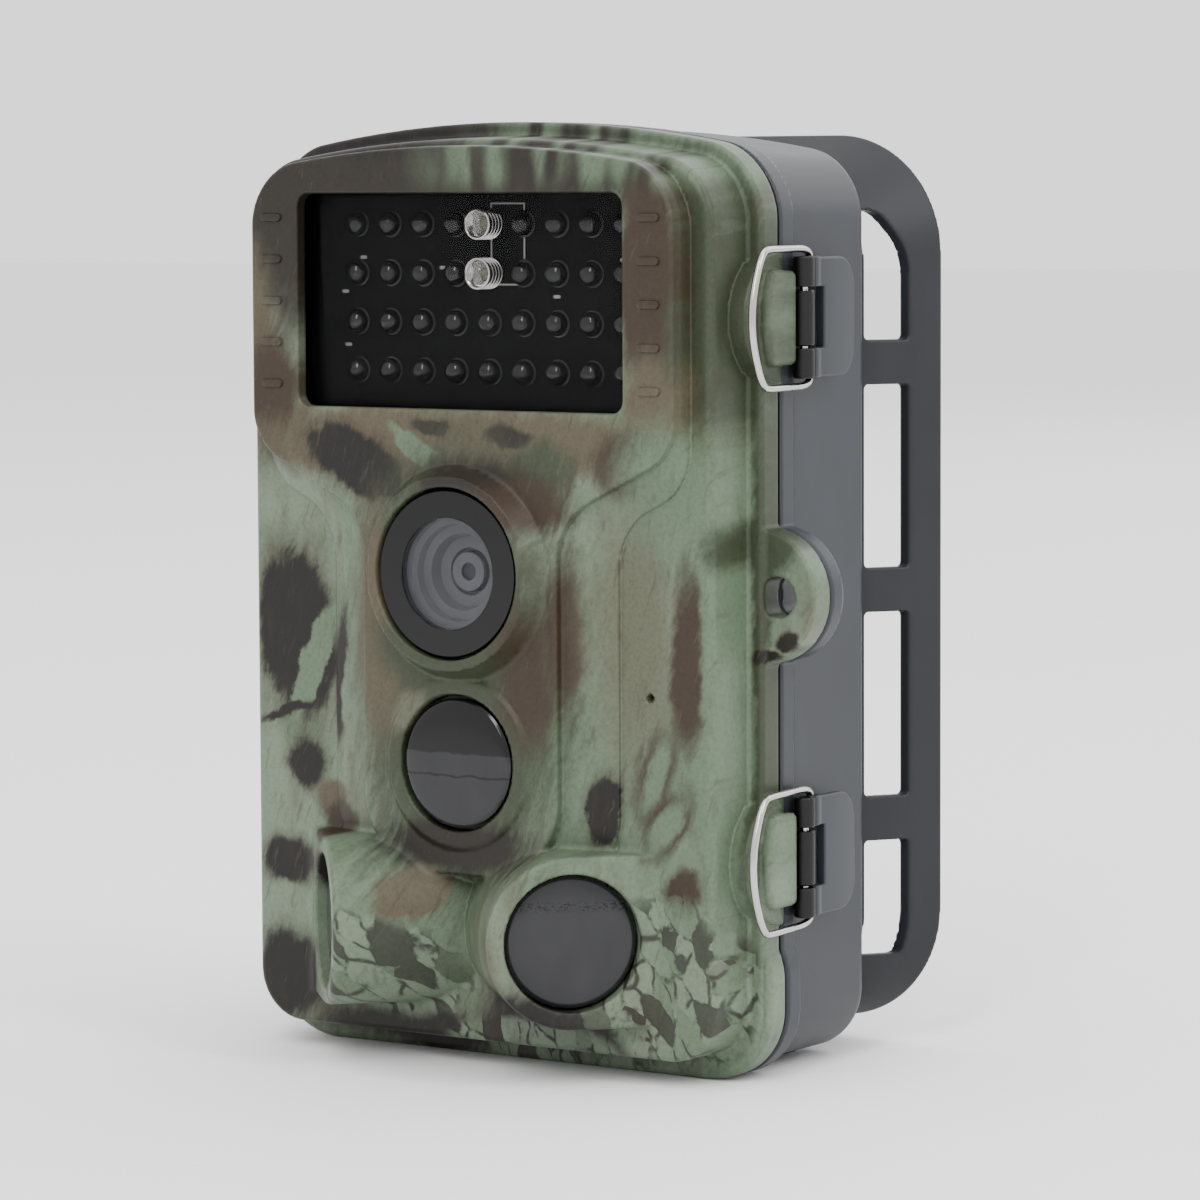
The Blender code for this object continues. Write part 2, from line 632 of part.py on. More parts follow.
def make_contacts(mat):
    """Plated strips at both ends of each row, with a dimple over every cell."""
    number = 0
    for row_z in CELL_ROW_Z:
        for end in (-1, 1):
            number += 1
            z0, z1 = sorted((row_z + end * 26.7, row_z + end * 26.2))
            strip = box(f"contact_strip_{number}", (-28.5, 10.0, z0), (28.5, 17.0, z1))
            for index in range(4):
                tip = (cell_x(index), CELL_Y + 0.6, row_z + end * 26.5)
                add(strip, turned("dimple", tip, (0, 0, -end), ((0, 2.2), (1.1, 1.2)), 6))
            finish(strip, mat)


# ---------------------------------------------------------------- hinge pins and latches

def make_hinge_pin(name, z, mat):
    pin = turned(name, (HINGE_X, HINGE_Y, z - 12.3), (0, 0, 1),
                 ((0, 1.0), (24.6, 1.0), (24.6, 1.9), (25.4, 1.9)), 16)
    return finish(pin, mat, 35)


def make_latch(name, z, grey, steel):
    make_lever(name + "_latch_lever", z, grey)
    pin = turned(name + "_latch_pin", (LEVER_X, LEVER_Y, z - 8.4), (0, 0, 1),
                 ((0, 0.6), (16.8, 0.6)), 12)
    finish(pin, steel, 35)
    make_bail(name + "_latch_bail", z, steel)


def make_lever(name, z, mat):
    """Finger plate with two knuckles on the pivot and a boss for each end of the bail."""
    h = LEVER_HALF_H
    plate = [(LEVER_Y, z - h), (10.0, z - h)] + arc(10.0, z - h + 5.0, 5.0, -80, 0, 4)[1:]
    plate += arc(10.0, z + h - 5.0, 5.0, 0, 80, 4) + [(10.0, z + h), (LEVER_Y, z + h)]
    lever = prism_x(name, plate, 46.2, 47.8)
    add(lever, prism_z("barrel", circle(LEVER_X, LEVER_Y, 1.6, 18), z - h - 0.05, z + h + 0.05))
    add(lever, prism_z("boss", circle(BAIL_X, BAIL_Y, 1.5, 16), z - h - 0.05, z + h + 0.05))
    cut(lever, box("slot", (44.0, LEVER_Y - 3, z - 4.5), (50.0, LEVER_Y + 4.6, z + 4.5)))
    cut(lever, prism_z("pin_bore", circle(LEVER_X, LEVER_Y, 0.9, 12), z - 12, z + 12))
    for end in (-1, 1):
        z0, z1 = sorted((z + end * (h - 1.6), z + end * (h + 2)))
        cut(lever, prism_z("socket", circle(BAIL_X, BAIL_Y, BAIL_WIRE_R + GAP, 12), z0, z1))
    return finish(lever, mat, 35, (LEVER_X, LEVER_Y, z))


def bail_route():
    """Half of the bent wire, from its pivot end to the middle of the bowed bar."""
    h = LEVER_HALF_H
    return [(BAIL_X, BAIL_Y, h - 1.2), (BAIL_X, BAIL_Y, h + 0.2),
            (46.6, 2.9, h + 0.9), (46.8, 1.0, h + 1.2), (47.6, -5.0, h + 1.2),
            (48.2, -10.2, h + 1.2), (48.35, -11.8, h + 0.5), (48.4, -12.6, h - 1.2),
            (48.4, -13.9, 5.2), (48.4, -14.5, 2.6), (48.4, -14.7, 0.0)]


def make_bail(name, z, mat):
    half = bail_route()
    route = half + [(x, y, -h) for x, y, h in reversed(half[:-1])]
    curve = bpy.data.curves.new(name, "CURVE")
    curve.dimensions = "3D"
    curve.bevel_depth = BAIL_WIRE_R * MM
    curve.bevel_resolution = 2
    curve.use_fill_caps = True
    spline = curve.splines.new("POLY")
    spline.points.add(len(route) - 1)
    for point, (x, y, h) in zip(spline.points, route):
        point.co = (*(Vector((x, y, z + h)) * MM), 1.0)
    guide = bpy.data.objects.new(name + "_route", curve)
    bpy.context.scene.collection.objects.link(guide)
    depsgraph = bpy.context.evaluated_depsgraph_get()
    mesh = bpy.data.meshes.new_from_object(guide.evaluated_get(depsgraph))
    bpy.data.objects.remove(guide, do_unlink=True)
    bail = bpy.data.objects.new(name, mesh)
    bpy.context.scene.collection.objects.link(bail)
    return finish(bail, mat, 40, (BAIL_X, BAIL_Y, z))


# ---------------------------------------------------------------- the whole camera

def build():
    clear_scene()
    make_front_shell(material("camo_plastic", (0.20, 0.25, 0.19), 0.45))
    glass = material("dark_glass", (0.01, 0.01, 0.012), 0.05)
    black = material("black_plastic", (0.02, 0.02, 0.02), 0.4)
    steel = material("steel", (0.6, 0.6, 0.58), 0.25, 1.0)
    brass = material("brass", (0.7, 0.5, 0.2), 0.3, 1.0)
    board = material("circuit_board", (0.01, 0.05, 0.02), 0.5)
    rubber = material("rubber", (0.03, 0.03, 0.03), 0.8)
    grey = material("grey_plastic", (0.12, 0.12, 0.13), 0.45)
    dark = material("dark_plastic", (0.06, 0.06, 0.065), 0.6)
    cell = material("cell_sleeve", (0.05, 0.12, 0.08), 0.35)
    clear = material("clear_epoxy", (0.8, 0.8, 0.82), 0.05)
    fresnel = material("fresnel_plastic", (0.04, 0.04, 0.045), 0.3)

    make_window(glass)
    make_led_array(black)
    make_white_led("white_led_upper", 0, clear)
    make_white_led("white_led_lower", 1, clear)
    make_led_board(board)
    make_lens_parts(glass, black)
    make_pirs(fresnel, steel)
    make_main_board(board)
    make_inner_panel(grey)
    make_controls(rubber, steel, black, glass)

    make_rear_shell(grey)
    make_strap_bracket(dark)
    make_gasket(rubber)
    make_tripod_insert(brass)
    make_port_flap(rubber)
    make_dc_jack(black)
    make_battery_tray(grey)
    for number in range(1, 9):
        make_battery_cell(number, cell)
    make_contacts(steel)
    for name, z in zip(LATCH_NAMES, LATCH_Z):
        make_hinge_pin("hinge_pin_" + name, z, steel)
        make_latch(name, z, grey, steel)


build()
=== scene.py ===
"""Looks of the trail camera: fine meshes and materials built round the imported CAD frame."""

import math

import bmesh
import bpy
import numpy as np
from mathutils import Matrix, Vector


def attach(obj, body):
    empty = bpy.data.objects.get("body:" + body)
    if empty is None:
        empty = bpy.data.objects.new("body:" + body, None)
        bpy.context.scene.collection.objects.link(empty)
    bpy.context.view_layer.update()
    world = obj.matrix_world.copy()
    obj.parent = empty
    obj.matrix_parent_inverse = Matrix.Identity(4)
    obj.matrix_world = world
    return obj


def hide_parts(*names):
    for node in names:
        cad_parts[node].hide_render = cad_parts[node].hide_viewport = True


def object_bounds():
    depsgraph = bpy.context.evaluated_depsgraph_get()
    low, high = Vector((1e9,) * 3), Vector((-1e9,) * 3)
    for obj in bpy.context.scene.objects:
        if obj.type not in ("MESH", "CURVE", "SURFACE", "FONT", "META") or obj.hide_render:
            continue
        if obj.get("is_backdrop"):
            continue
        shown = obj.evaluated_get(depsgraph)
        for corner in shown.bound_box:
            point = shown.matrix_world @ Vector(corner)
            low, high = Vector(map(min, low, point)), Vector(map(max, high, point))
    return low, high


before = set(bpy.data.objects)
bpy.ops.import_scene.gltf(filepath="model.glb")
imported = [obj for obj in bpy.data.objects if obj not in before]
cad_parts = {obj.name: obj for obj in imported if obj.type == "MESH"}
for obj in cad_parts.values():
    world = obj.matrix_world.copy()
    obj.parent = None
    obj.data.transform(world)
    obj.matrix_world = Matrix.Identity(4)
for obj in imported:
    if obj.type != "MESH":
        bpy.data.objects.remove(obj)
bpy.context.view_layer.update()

MM = 0.001
LATCH_Z = (113.0, 33.2)
HINGE = (-47.8, -2.05)
SNOUT = (23.2, -24.5, 21.5)
LENS_Z, PIR_Z = 75.0, 46.5
LEDS_ACROSS, LEDS_DOWN = 9, 4
LED_PITCH_X, LED_PITCH_Z = 6.2, 7.4
RIB_PITCH = 0.75

CAMERA_TARGET = (4.1, 10.5, 68.9)
CAMERA_DISTANCE = 780.0
CAMERA_AZIMUTH, CAMERA_ELEVATION, CAMERA_ROLL = 34.68, 4.71, -0.27


# ------------------------------------------------------------------ distance fields (mm)

def both(a, b, r=0.0):
    """Where two shapes overlap, their shared edge rounded to radius r."""
    if r <= 0:
        return np.maximum(a, b)
    return np.minimum(-r, np.maximum(a, b)) + np.hypot(np.maximum(a + r, 0), np.maximum(b + r, 0))


def either(a, b, r=0.0):
    """Two shapes as one, the corner between them filled to radius r."""
    return -both(-a, -b, r)


def without(a, b, r=0.0):
    return both(a, -b, r)


def slab(t, low, high):
    return np.maximum(low - t, t - high)


def rect(u, v, half_u, half_v, r):
    du, dv = np.abs(u) - half_u + r, np.abs(v) - half_v + r
    return np.minimum(np.maximum(du, dv), 0) + np.hypot(np.maximum(du, 0), np.maximum(dv, 0)) - r


def disc(u, v, r):
    return np.hypot(u, v) - r


def arched(x, z, half_w, top, bottom, r_top, r_low):
    """Case-like outline: straight sides, flat bottom and a gently arched top."""
    upper = both(np.abs(x) - half_w, np.hypot(x, z - top + 204.0) - 204.0, r_top)
    return both(upper, bottom - z, r_low)


def case_profile(x, z):
    return arched(x, z, 45.1, 142.0, 0.0, 9.5, 11.0)


def foot_profile(x, z):
    return rect(x, z - 13.0, 46.2, 13.0, 11.0)


def panel_profile(x, z, grow=0.0):
    """Raised panel: wide head, slanted shoulders, column with a rounded foot."""
    ax = np.abs(x)
    head = both(ax - 38.6, np.hypot(x, z + 65.6) - 204.0, 8.0)
    shoulder = 0.444 * (ax - 17.4) - 0.896 * (z - 83.0)
    head = both(head, shoulder - grow * 0.55, 4.5)
    column = both(ax - 17.9 - grow, 29.6 - grow * 0.2 - z, 12.0)
    return either(head, np.maximum(column, z - 95.0), 5.0)


def snout_field(x, y, z):
    """Sensor housing turned 45 degrees to its side; the same on both sides."""
    ax, s = np.abs(x), math.sqrt(0.5)
    out = (ax - SNOUT[0]) * s - (y - SNOUT[1]) * s        # along its axis, away from the case
    across = (ax - SNOUT[0]) * s + (y - SNOUT[1]) * s
    h = z - SNOUT[2]
    round_part = np.hypot(np.minimum(across, 0), h) - 12.9
    body = both(np.maximum(round_part, across - 14.0), out, 0.8)
    bore = both(disc(across, h, 10.2), slab(out, -4.0, 2.0))
    deep = both(disc(across, h, 8.6), slab(out, -20.0, 2.0))
    return np.maximum(body, -26.0 - out), np.minimum(bore, deep)


def ear_field(x, y, z, y0, y1):
    disc_part = both(disc(x - 44.0, z - 72.3, 10.0), slab(y, y0, y1), 0.5)
    return without(disc_part, disc(x - 47.4, z - 72.3, 3.0), 0.4)


def knuckle_field(x, y, z, z0, z1, web0, web1):
    barrel = both(disc(x - HINGE[0], y - HINGE[1], 2.2), slab(z, z0, z1), 0.3)
    web = np.maximum(np.maximum(slab(x, HINGE[0], -43.9), slab(y, web0, web1)), slab(z, z0, z1))
    return without(either(barrel, web, 0.3), disc(x - HINGE[0], y - HINGE[1], 1.3))


def front_hollow(x, y, z):
    """Room for the electronics, with the lamp bay in front of it."""
    cavity = both(case_profile(x, z) + 5.4, slab(y, -12.5, 20.0), 0.5)
    lamp_bay = both(rect(x, z - 114.55, 35.0, 20.05, 3.0), slab(y, -18.5, -10.0))
    return np.minimum(cavity, lamp_bay)


def latch_knuckles(x, y, z):
    """Where the rear shell's latch knuckles stand clear of the case."""
    upper, lower = (np.abs(z - z0) - 4.4 for z0 in LATCH_Z)
    return np.maximum(45.4 - x, np.minimum(upper, lower))


def front_field(x, y, z):
    shell = both(case_profile(x, z), slab(y, -7.1, -2.2), 0.7)
    shell = np.minimum(shell, both(foot_profile(x, z), slab(y, -6.8, -2.2), 0.8))
    draft_y = [-16.1, -14.9, -7.4]
    block = arched(x, z, np.interp(y, draft_y, [42.0, 42.3, 42.6]),
                   np.interp(y, draft_y, [139.2, 139.5, 139.9]), 3.8, 8.0, 8.0)
    block = both(block, slab(y, -16.1, -4.0), 0.9)
    shell = either(shell, block, 0.6)

    panel, wide = panel_profile(x, z), panel_profile(x, z, 8.3)
    share = np.clip(panel / np.maximum(panel - wide, 0.3), 0, 1)
    slope = both(wide, -19.2 + 2.5 * share - y, 0.25)
    slope = np.maximum(slope, y + 12.0)
    shell = either(shell, slope, 0.2)
    shell = either(shell, both(panel, slab(y, -21.0, -12.0), 0.6), 0.2)

    lens_r = np.hypot(x, z - LENS_Z)
    bezel = both(lens_r - 16.0, slab(y, -24.3, -18.0), 1.3)
    bezel = np.maximum(bezel, (lens_r - 14.9 - (y + 23.6) * 0.5) * 0.89)
    shell = either(shell, bezel, 0.6)
    pir_r = np.hypot(x, z - PIR_Z)
    shell = either(shell, both(pir_r - 13.2, slab(y, -21.7, -18.0), 0.9), 0.5)
    snout, bore = snout_field(x, y, z)
    shell = either(shell, snout, 0.9)
    shell = either(shell, ear_field(x, y, z, -6.7, -2.2), 0.8)
    for z0 in LATCH_Z:
        boss = both(disc(y + 2.2, z - z0, 9.8), slab(x, 40.5, 45.6), 0.4)
        shell = either(shell, np.maximum(boss, y + 2.2), 0.2)
        h = z - z0
        catch = both(np.maximum(slab(y, -50, -2.5), -8.6 + 1.6 * (h / 7.1) ** 2 - y),
                     slab(x, 44.0, 47.2), 0.9)
        tail = both(slab(y, -7.0, -0.7), slab(x, 45.5, 47.2), 0.5)
        catch = np.minimum(catch, tail)
        shell = either(shell, both(catch, np.abs(h) - 7.1, 1.2), 0.3)
        shell = np.minimum(shell, knuckle_field(x, y, z, z0 - 5.2, z0 + 5.2, -4.05, -2.45))

    shell = without(shell, front_hollow(x, y, z))
    shell = without(shell, np.maximum(rect(x, z - 115.35, 29.8, 16.05, 2.0), y + 14), 0.5)
    lens_bore = np.minimum(both(lens_r - 12.9, slab(y, -30, -22)), both(lens_r - 11, slab(y, -30, -8)))
    shell = without(shell, lens_bore, 0.4)
    pir_bore = np.minimum(both(pir_r - 10.3, slab(y, -30, -19)), both(pir_r - 8.8, slab(y, -30, -8)))
    shell = without(without(shell, pir_bore, 0.4), bore, 0.4)
    return without(shell, np.maximum(disc(x - 31.3, z - 57.5, 0.6), y + 10), 0.15)


def rear_field(x, y, z):
    case = case_profile(x, z)
    shell = both(case, slab(y, -1.9, 2.1), 0.4)
    shell = np.minimum(shell, both(foot_profile(x, z), slab(y, -1.9, 1.9), 0.5))
    body = both(case + 1.0, slab(y, -0.9, 23.8), 2.2)
    shell = either(shell, body, 0.5)
    shell = either(shell, ear_field(x, y, z, -1.9, 1.5), 0.6)
    for z0 in LATCH_Z:
        for low in (z0 - 12.0, z0 + 5.5):
            shell = np.minimum(shell, knuckle_field(x, y, z, low, low + 6.5, -1.65, 0.35))
        barrel = both(disc(x - 47.1, y - 1.3, 1.6), slab(z, z0 - 4.2, z0 + 4.2), 0.3)
        arm = both(np.maximum(slab(x, 43.5, 47.1), slab(y, 0.0, 2.6)), slab(z, z0 - 4.2, z0 + 4.2), 0.2)
        shell = either(shell, either(barrel, arm, 0.2), 0.4)
    cavity = both(case + 3.6, slab(y, -5.0, 21.6), 0.6)
    boss = np.maximum(disc(x, y - 15.0, 7.0), z - 9.0)
    shell = without(shell, without(cavity, boss, 0.5))
    groove = np.maximum(slab(case, -2.5, -0.9), y + 0.5)
    shell = without(shell, groove, 0.1)
    shell = without(shell, np.maximum(disc(x, y - 15.0, 4.3), z - 8.6), 0.3)
    port = both(slab(x, 18.0, 32.0), slab(y, 11.0, 18.0), 1.0)
    seat = both(slab(x, 16.0, 34.0), slab(y, 9.3, 20.6), 1.2)
    shell = without(shell, np.minimum(np.maximum(port, z - 5), np.maximum(seat, z - 1.6)), 0.2)
    for z0 in LATCH_Z:
        shell = without(shell, np.maximum(disc(x - 47.1, y - 1.3, 0.9), np.abs(z - z0) - 5))
    return shell


def bracket_field(x, y, z):
    t = (y - 24.1) / 14.2
    half_w, low, top, r = 39.4 + 9.5 * t, 10.0 - 7.0 * t, 131.0 + 9.3 * t, 11.0 + 7.5 * t
    u, v = np.abs(x) - half_w + r, np.abs(z - (low + top) / 2) - (top - low) / 2 + r
    rim = (np.minimum(np.maximum(u, v), 0) + np.hypot(np.maximum(u, 0), np.maximum(v, 0)) - r) * 0.83
    dish = both(rim, slab(y, 24.1, 38.3), 0.7)
    hollow = both(rim + 1.75, 26.4 - y, 1.2)
    dish = without(dish, hollow, 0.5)
    dish = without(dish, np.maximum(rect(x, z - 71.0, 27.0, 45.0, 8.0), y - 30.0), 0.4)
    for low, high in ((14.5, 32.3), (39.2, 67.4), (74.2, 102.1), (108.9, 128.5)):
        slot = both(slab(y, 27.4, 33.6), slab(z, low, high), 0.6)
        if high > 120:
            slot = both(slot, (y - 33.6) * 0.92 + (z - 121.5) * 0.39, 1.0)
        dish = without(dish, np.maximum(slot, 33.0 - np.abs(x)), 0.35)
    return dish


def lever_field(z0):
    def field(x, y, z):
        h = z - z0
        bow = 0.35 * (1 - ((y - 8.0) / 7.0) ** 2)
        plate = both(rect(y - 6.0, h, 9.0, 8.9, 4.6), slab(x, 46.2, 47.45 + np.clip(bow, 0, 0.35)), 0.45)
        plate = np.maximum(plate, 1.3 - y)
        barrel = both(disc(x - 47.1, y - 1.3, 1.6), np.abs(h) - 8.95, 0.3)
        boss = both(disc(x - 46.5, y - 3.8, 1.5), np.abs(h) - 8.95, 0.3)
        lever = either(either(plate, barrel, 0.3), boss, 0.3)
        slot = np.maximum(slab(y, -1.7, 5.9), np.abs(h) - 4.5)
        lever = without(lever, slot, 0.25)
        lever = without(lever, disc(x - 47.1, y - 1.3, 0.9))
        return without(lever, np.maximum(disc(x - 46.5, y - 3.8, 0.85), 7.3 - np.abs(h)))
    return field


# ------------------------------------------------------------------ meshing

EDGES = [(a, b) for a in range(8) for b in range(a + 1, 8) if bin(a ^ b).count("1") == 1]


def surface_net(field, low, high, step):
    """Vertices (mm) and quads on the zero level of a field."""
    axes = [np.arange(low[i], high[i] + step, step) for i in range(3)]
    grid = np.meshgrid(*axes, indexing="ij", sparse=True)
    f = np.ascontiguousarray(np.broadcast_to(field(*grid), [len(a) for a in axes]), np.float32)
    inside = f < 0
    cells = tuple(n - 1 for n in f.shape)
    count = np.zeros(cells, np.int8)
    corner_slices = []
    for c in range(8):
        s = tuple(slice((c >> d) & 1, cells[d] + ((c >> d) & 1)) for d in range(3))
        corner_slices.append(s)
        count += inside[s]
    active = (count > 0) & (count < 8)
    index = np.full(cells, -1, np.int64)
    index[active] = np.arange(active.sum())
    ijk = np.argwhere(active)
    values = np.stack([f[s][active] for s in corner_slices], 1)
    total, hits = np.zeros((len(ijk), 3)), np.zeros(len(ijk))
    bits = np.array([[(c >> d) & 1 for d in range(3)] for c in range(8)], float)
    for a, b in EDGES:
        fa, fb = values[:, a], values[:, b]
        crossing = (fa < 0) != (fb < 0)
        t = np.where(crossing, fa / np.where(crossing, fa - fb, 1.0), 0.0)
        total += crossing[:, None] * (bits[a] + t[:, None] * (bits[b] - bits[a]))
        hits += crossing
    points = (ijk + total / hits[:, None]) * step + np.array(low)
    quads = []
    for d in range(3):
        u, v = (d + 1) % 3, (d + 2) % 3
        first = [slice(None)] * 3
        second = [slice(None)] * 3
        first[d], second[d] = slice(0, -1), slice(1, None)
        a, b = inside[tuple(first)], inside[tuple(second)]
        at = np.argwhere(a != b)
        at = at[(at[:, u] > 0) & (at[:, v] > 0) & (at[:, u] < cells[u]) & (at[:, v] < cells[v])]
        out = a[tuple(at.T)]
        eu, ev = np.eye(3, dtype=int)[u], np.eye(3, dtype=int)[v]
        ring = [index[tuple((at - o).T)] for o in (0 * eu, eu, eu + ev, ev)]
        quad = np.stack(ring, 1)
        quad[~out] = quad[~out][:, ::-1]
        quads.append(quad)
    return points, np.concatenate(quads)


def slope_of(field, p, h=0.03):
    """Gradient of a field at points."""
    g = np.empty_like(p)
    for d in range(3):
        q = p.copy()
        q[:, d] += h
        r = p.copy()
        r[:, d] -= h
        g[:, d] = (field(*q.T) - field(*r.T)) / (2 * h)
    return g


def settle(field, p, rounds, reach):
    """Moves points onto the zero level; returns them and unit normals there."""
    for _ in range(rounds):
        g = slope_of(field, p)
        move = field(*p.T)[:, None] * g / np.maximum((g * g).sum(1), 0.05)[:, None]
        length = np.linalg.norm(move, axis=1)[:, None]
        p = p - move * np.minimum(1, reach / np.maximum(length, 1e-9))
    g = slope_of(field, p)
    return p, g / np.maximum(np.linalg.norm(g, axis=1), 1e-9)[:, None]


def link(name, mesh):
    obj = bpy.data.objects.new(name, mesh)
    bpy.context.scene.collection.objects.link(obj)
    return obj


def mesh_from(name, points, faces):
    mesh = bpy.data.meshes.new(name)
    mesh.from_pydata((np.asarray(points) * MM).tolist(), [], [list(f) for f in faces])
    mesh.update()
    return mesh


def moulded(name, field, low, high, step, share):
    """Smooth mesh of a field: netted, thinned to a share of its faces, then settled on the field."""
    points, quads = surface_net(field, low, high, step)
    points, _ = settle(field, points, 2, step * 0.4)
    obj = link(name, mesh_from(name, points, quads.tolist()))
    thin = obj.modifiers.new("thin", "DECIMATE")
    thin.ratio = share
    mesh = bpy.data.meshes.new_from_object(obj.evaluated_get(bpy.context.evaluated_depsgraph_get()))
    obj.modifiers.clear()
    obj.data = mesh
    co = np.empty(len(mesh.vertices) * 3, np.float32)
    mesh.vertices.foreach_get("co", co)
    points, normals = settle(field, co.reshape(-1, 3).astype(float) / MM, 2, step * 0.3)
    mesh.vertices.foreach_set("co", (points * MM).astype(np.float32).ravel())
    mesh.shade_smooth()
    mesh.normals_split_custom_set_from_vertices(normals.tolist())
    mesh.update()
    print(name, len(mesh.polygons), "faces")
    return obj


def lathe(name, center, axis, profile, count=64):
    """Closed turned body; profile is (distance along axis, radius) pairs, ends on the axis."""
    axis = Vector(axis).normalized()
    u = axis.orthogonal().normalized()
    v = axis.cross(u)
    center = Vector(center)
    bm = bmesh.new()
    rings = []
    for t, r in profile:
        if r <= 0:
            rings.append([bm.verts.new((center + axis * t) * MM)])
            continue
        turn = [2 * math.pi * k / count for k in range(count)]
        rings.append([bm.verts.new((center + axis * t + (u * math.cos(a) + v * math.sin(a)) * r) * MM)
                      for a in turn])
    for low, high in zip(rings, rings[1:]):
        for k in range(count):
            j = (k + 1) % count
            corners = [low[k % len(low)], low[j % len(low)], high[j % len(high)], high[k % len(high)]]
            corners = list(dict.fromkeys(corners))
            if len(corners) > 2:
                bm.faces.new(corners)
    bmesh.ops.recalc_face_normals(bm, faces=bm.faces)
    mesh = bpy.data.meshes.new(name)
    bm.to_mesh(mesh)
    bm.free()
    mesh.shade_smooth()
    mesh.set_sharp_from_angle(angle=math.radians(38))
    return link(name, mesh)


def joined(name, parts):
    """Several new pieces as one object."""
    bm = bmesh.new()
    for part in parts:
        bm.from_mesh(part.data)
    mesh = bpy.data.meshes.new(name)
    bm.to_mesh(mesh)
    bm.free()
    for part in parts:
        bpy.data.objects.remove(part, do_unlink=True)
    mesh.shade_smooth()
    mesh.set_sharp_from_angle(angle=math.radians(38))
    return link(name, mesh)


def slab_piece(name, outline, y0, y1, bevel=0.25):
    """Plate with a given XZ outline and softened edges."""
    bm = bmesh.new()
    loop = [bm.verts.new((x * MM, y0 * MM, z * MM)) for x, z in outline]
    face = bm.faces.new(loop)
    grown = bmesh.ops.extrude_face_region(bm, geom=[face])
    moved = [g for g in grown["geom"] if isinstance(g, bmesh.types.BMVert)]
    bmesh.ops.translate(bm, verts=moved, vec=(0, (y1 - y0) * MM, 0))
    bmesh.ops.recalc_face_normals(bm, faces=bm.faces)
    sharp = [e for e in bm.edges if e.calc_face_angle(0) > 0.9]
    bmesh.ops.bevel(bm, geom=sharp, offset=bevel * MM, segments=2, profile=0.5, affect="EDGES")
    mesh = bpy.data.meshes.new(name)
    bm.to_mesh(mesh)
    bm.free()
    mesh.shade_smooth()
    mesh.set_sharp_from_angle(angle=math.radians(38))
    return link(name, mesh)


def rounded_outline(x0, x1, z0, z1, r, count=6):
    corners = ((x1 - r, z0 + r, -90), (x1 - r, z1 - r, 0), (x0 + r, z1 - r, 90), (x0 + r, z0 + r, 180))
    turns = [(cx, cz, math.radians(a + 90 * k / count)) for cx, cz, a in corners for k in range(count + 1)]
    return [(cx + r * math.cos(a), cz + r * math.sin(a)) for cx, cz, a in turns]


# ------------------------------------------------------------------ materials

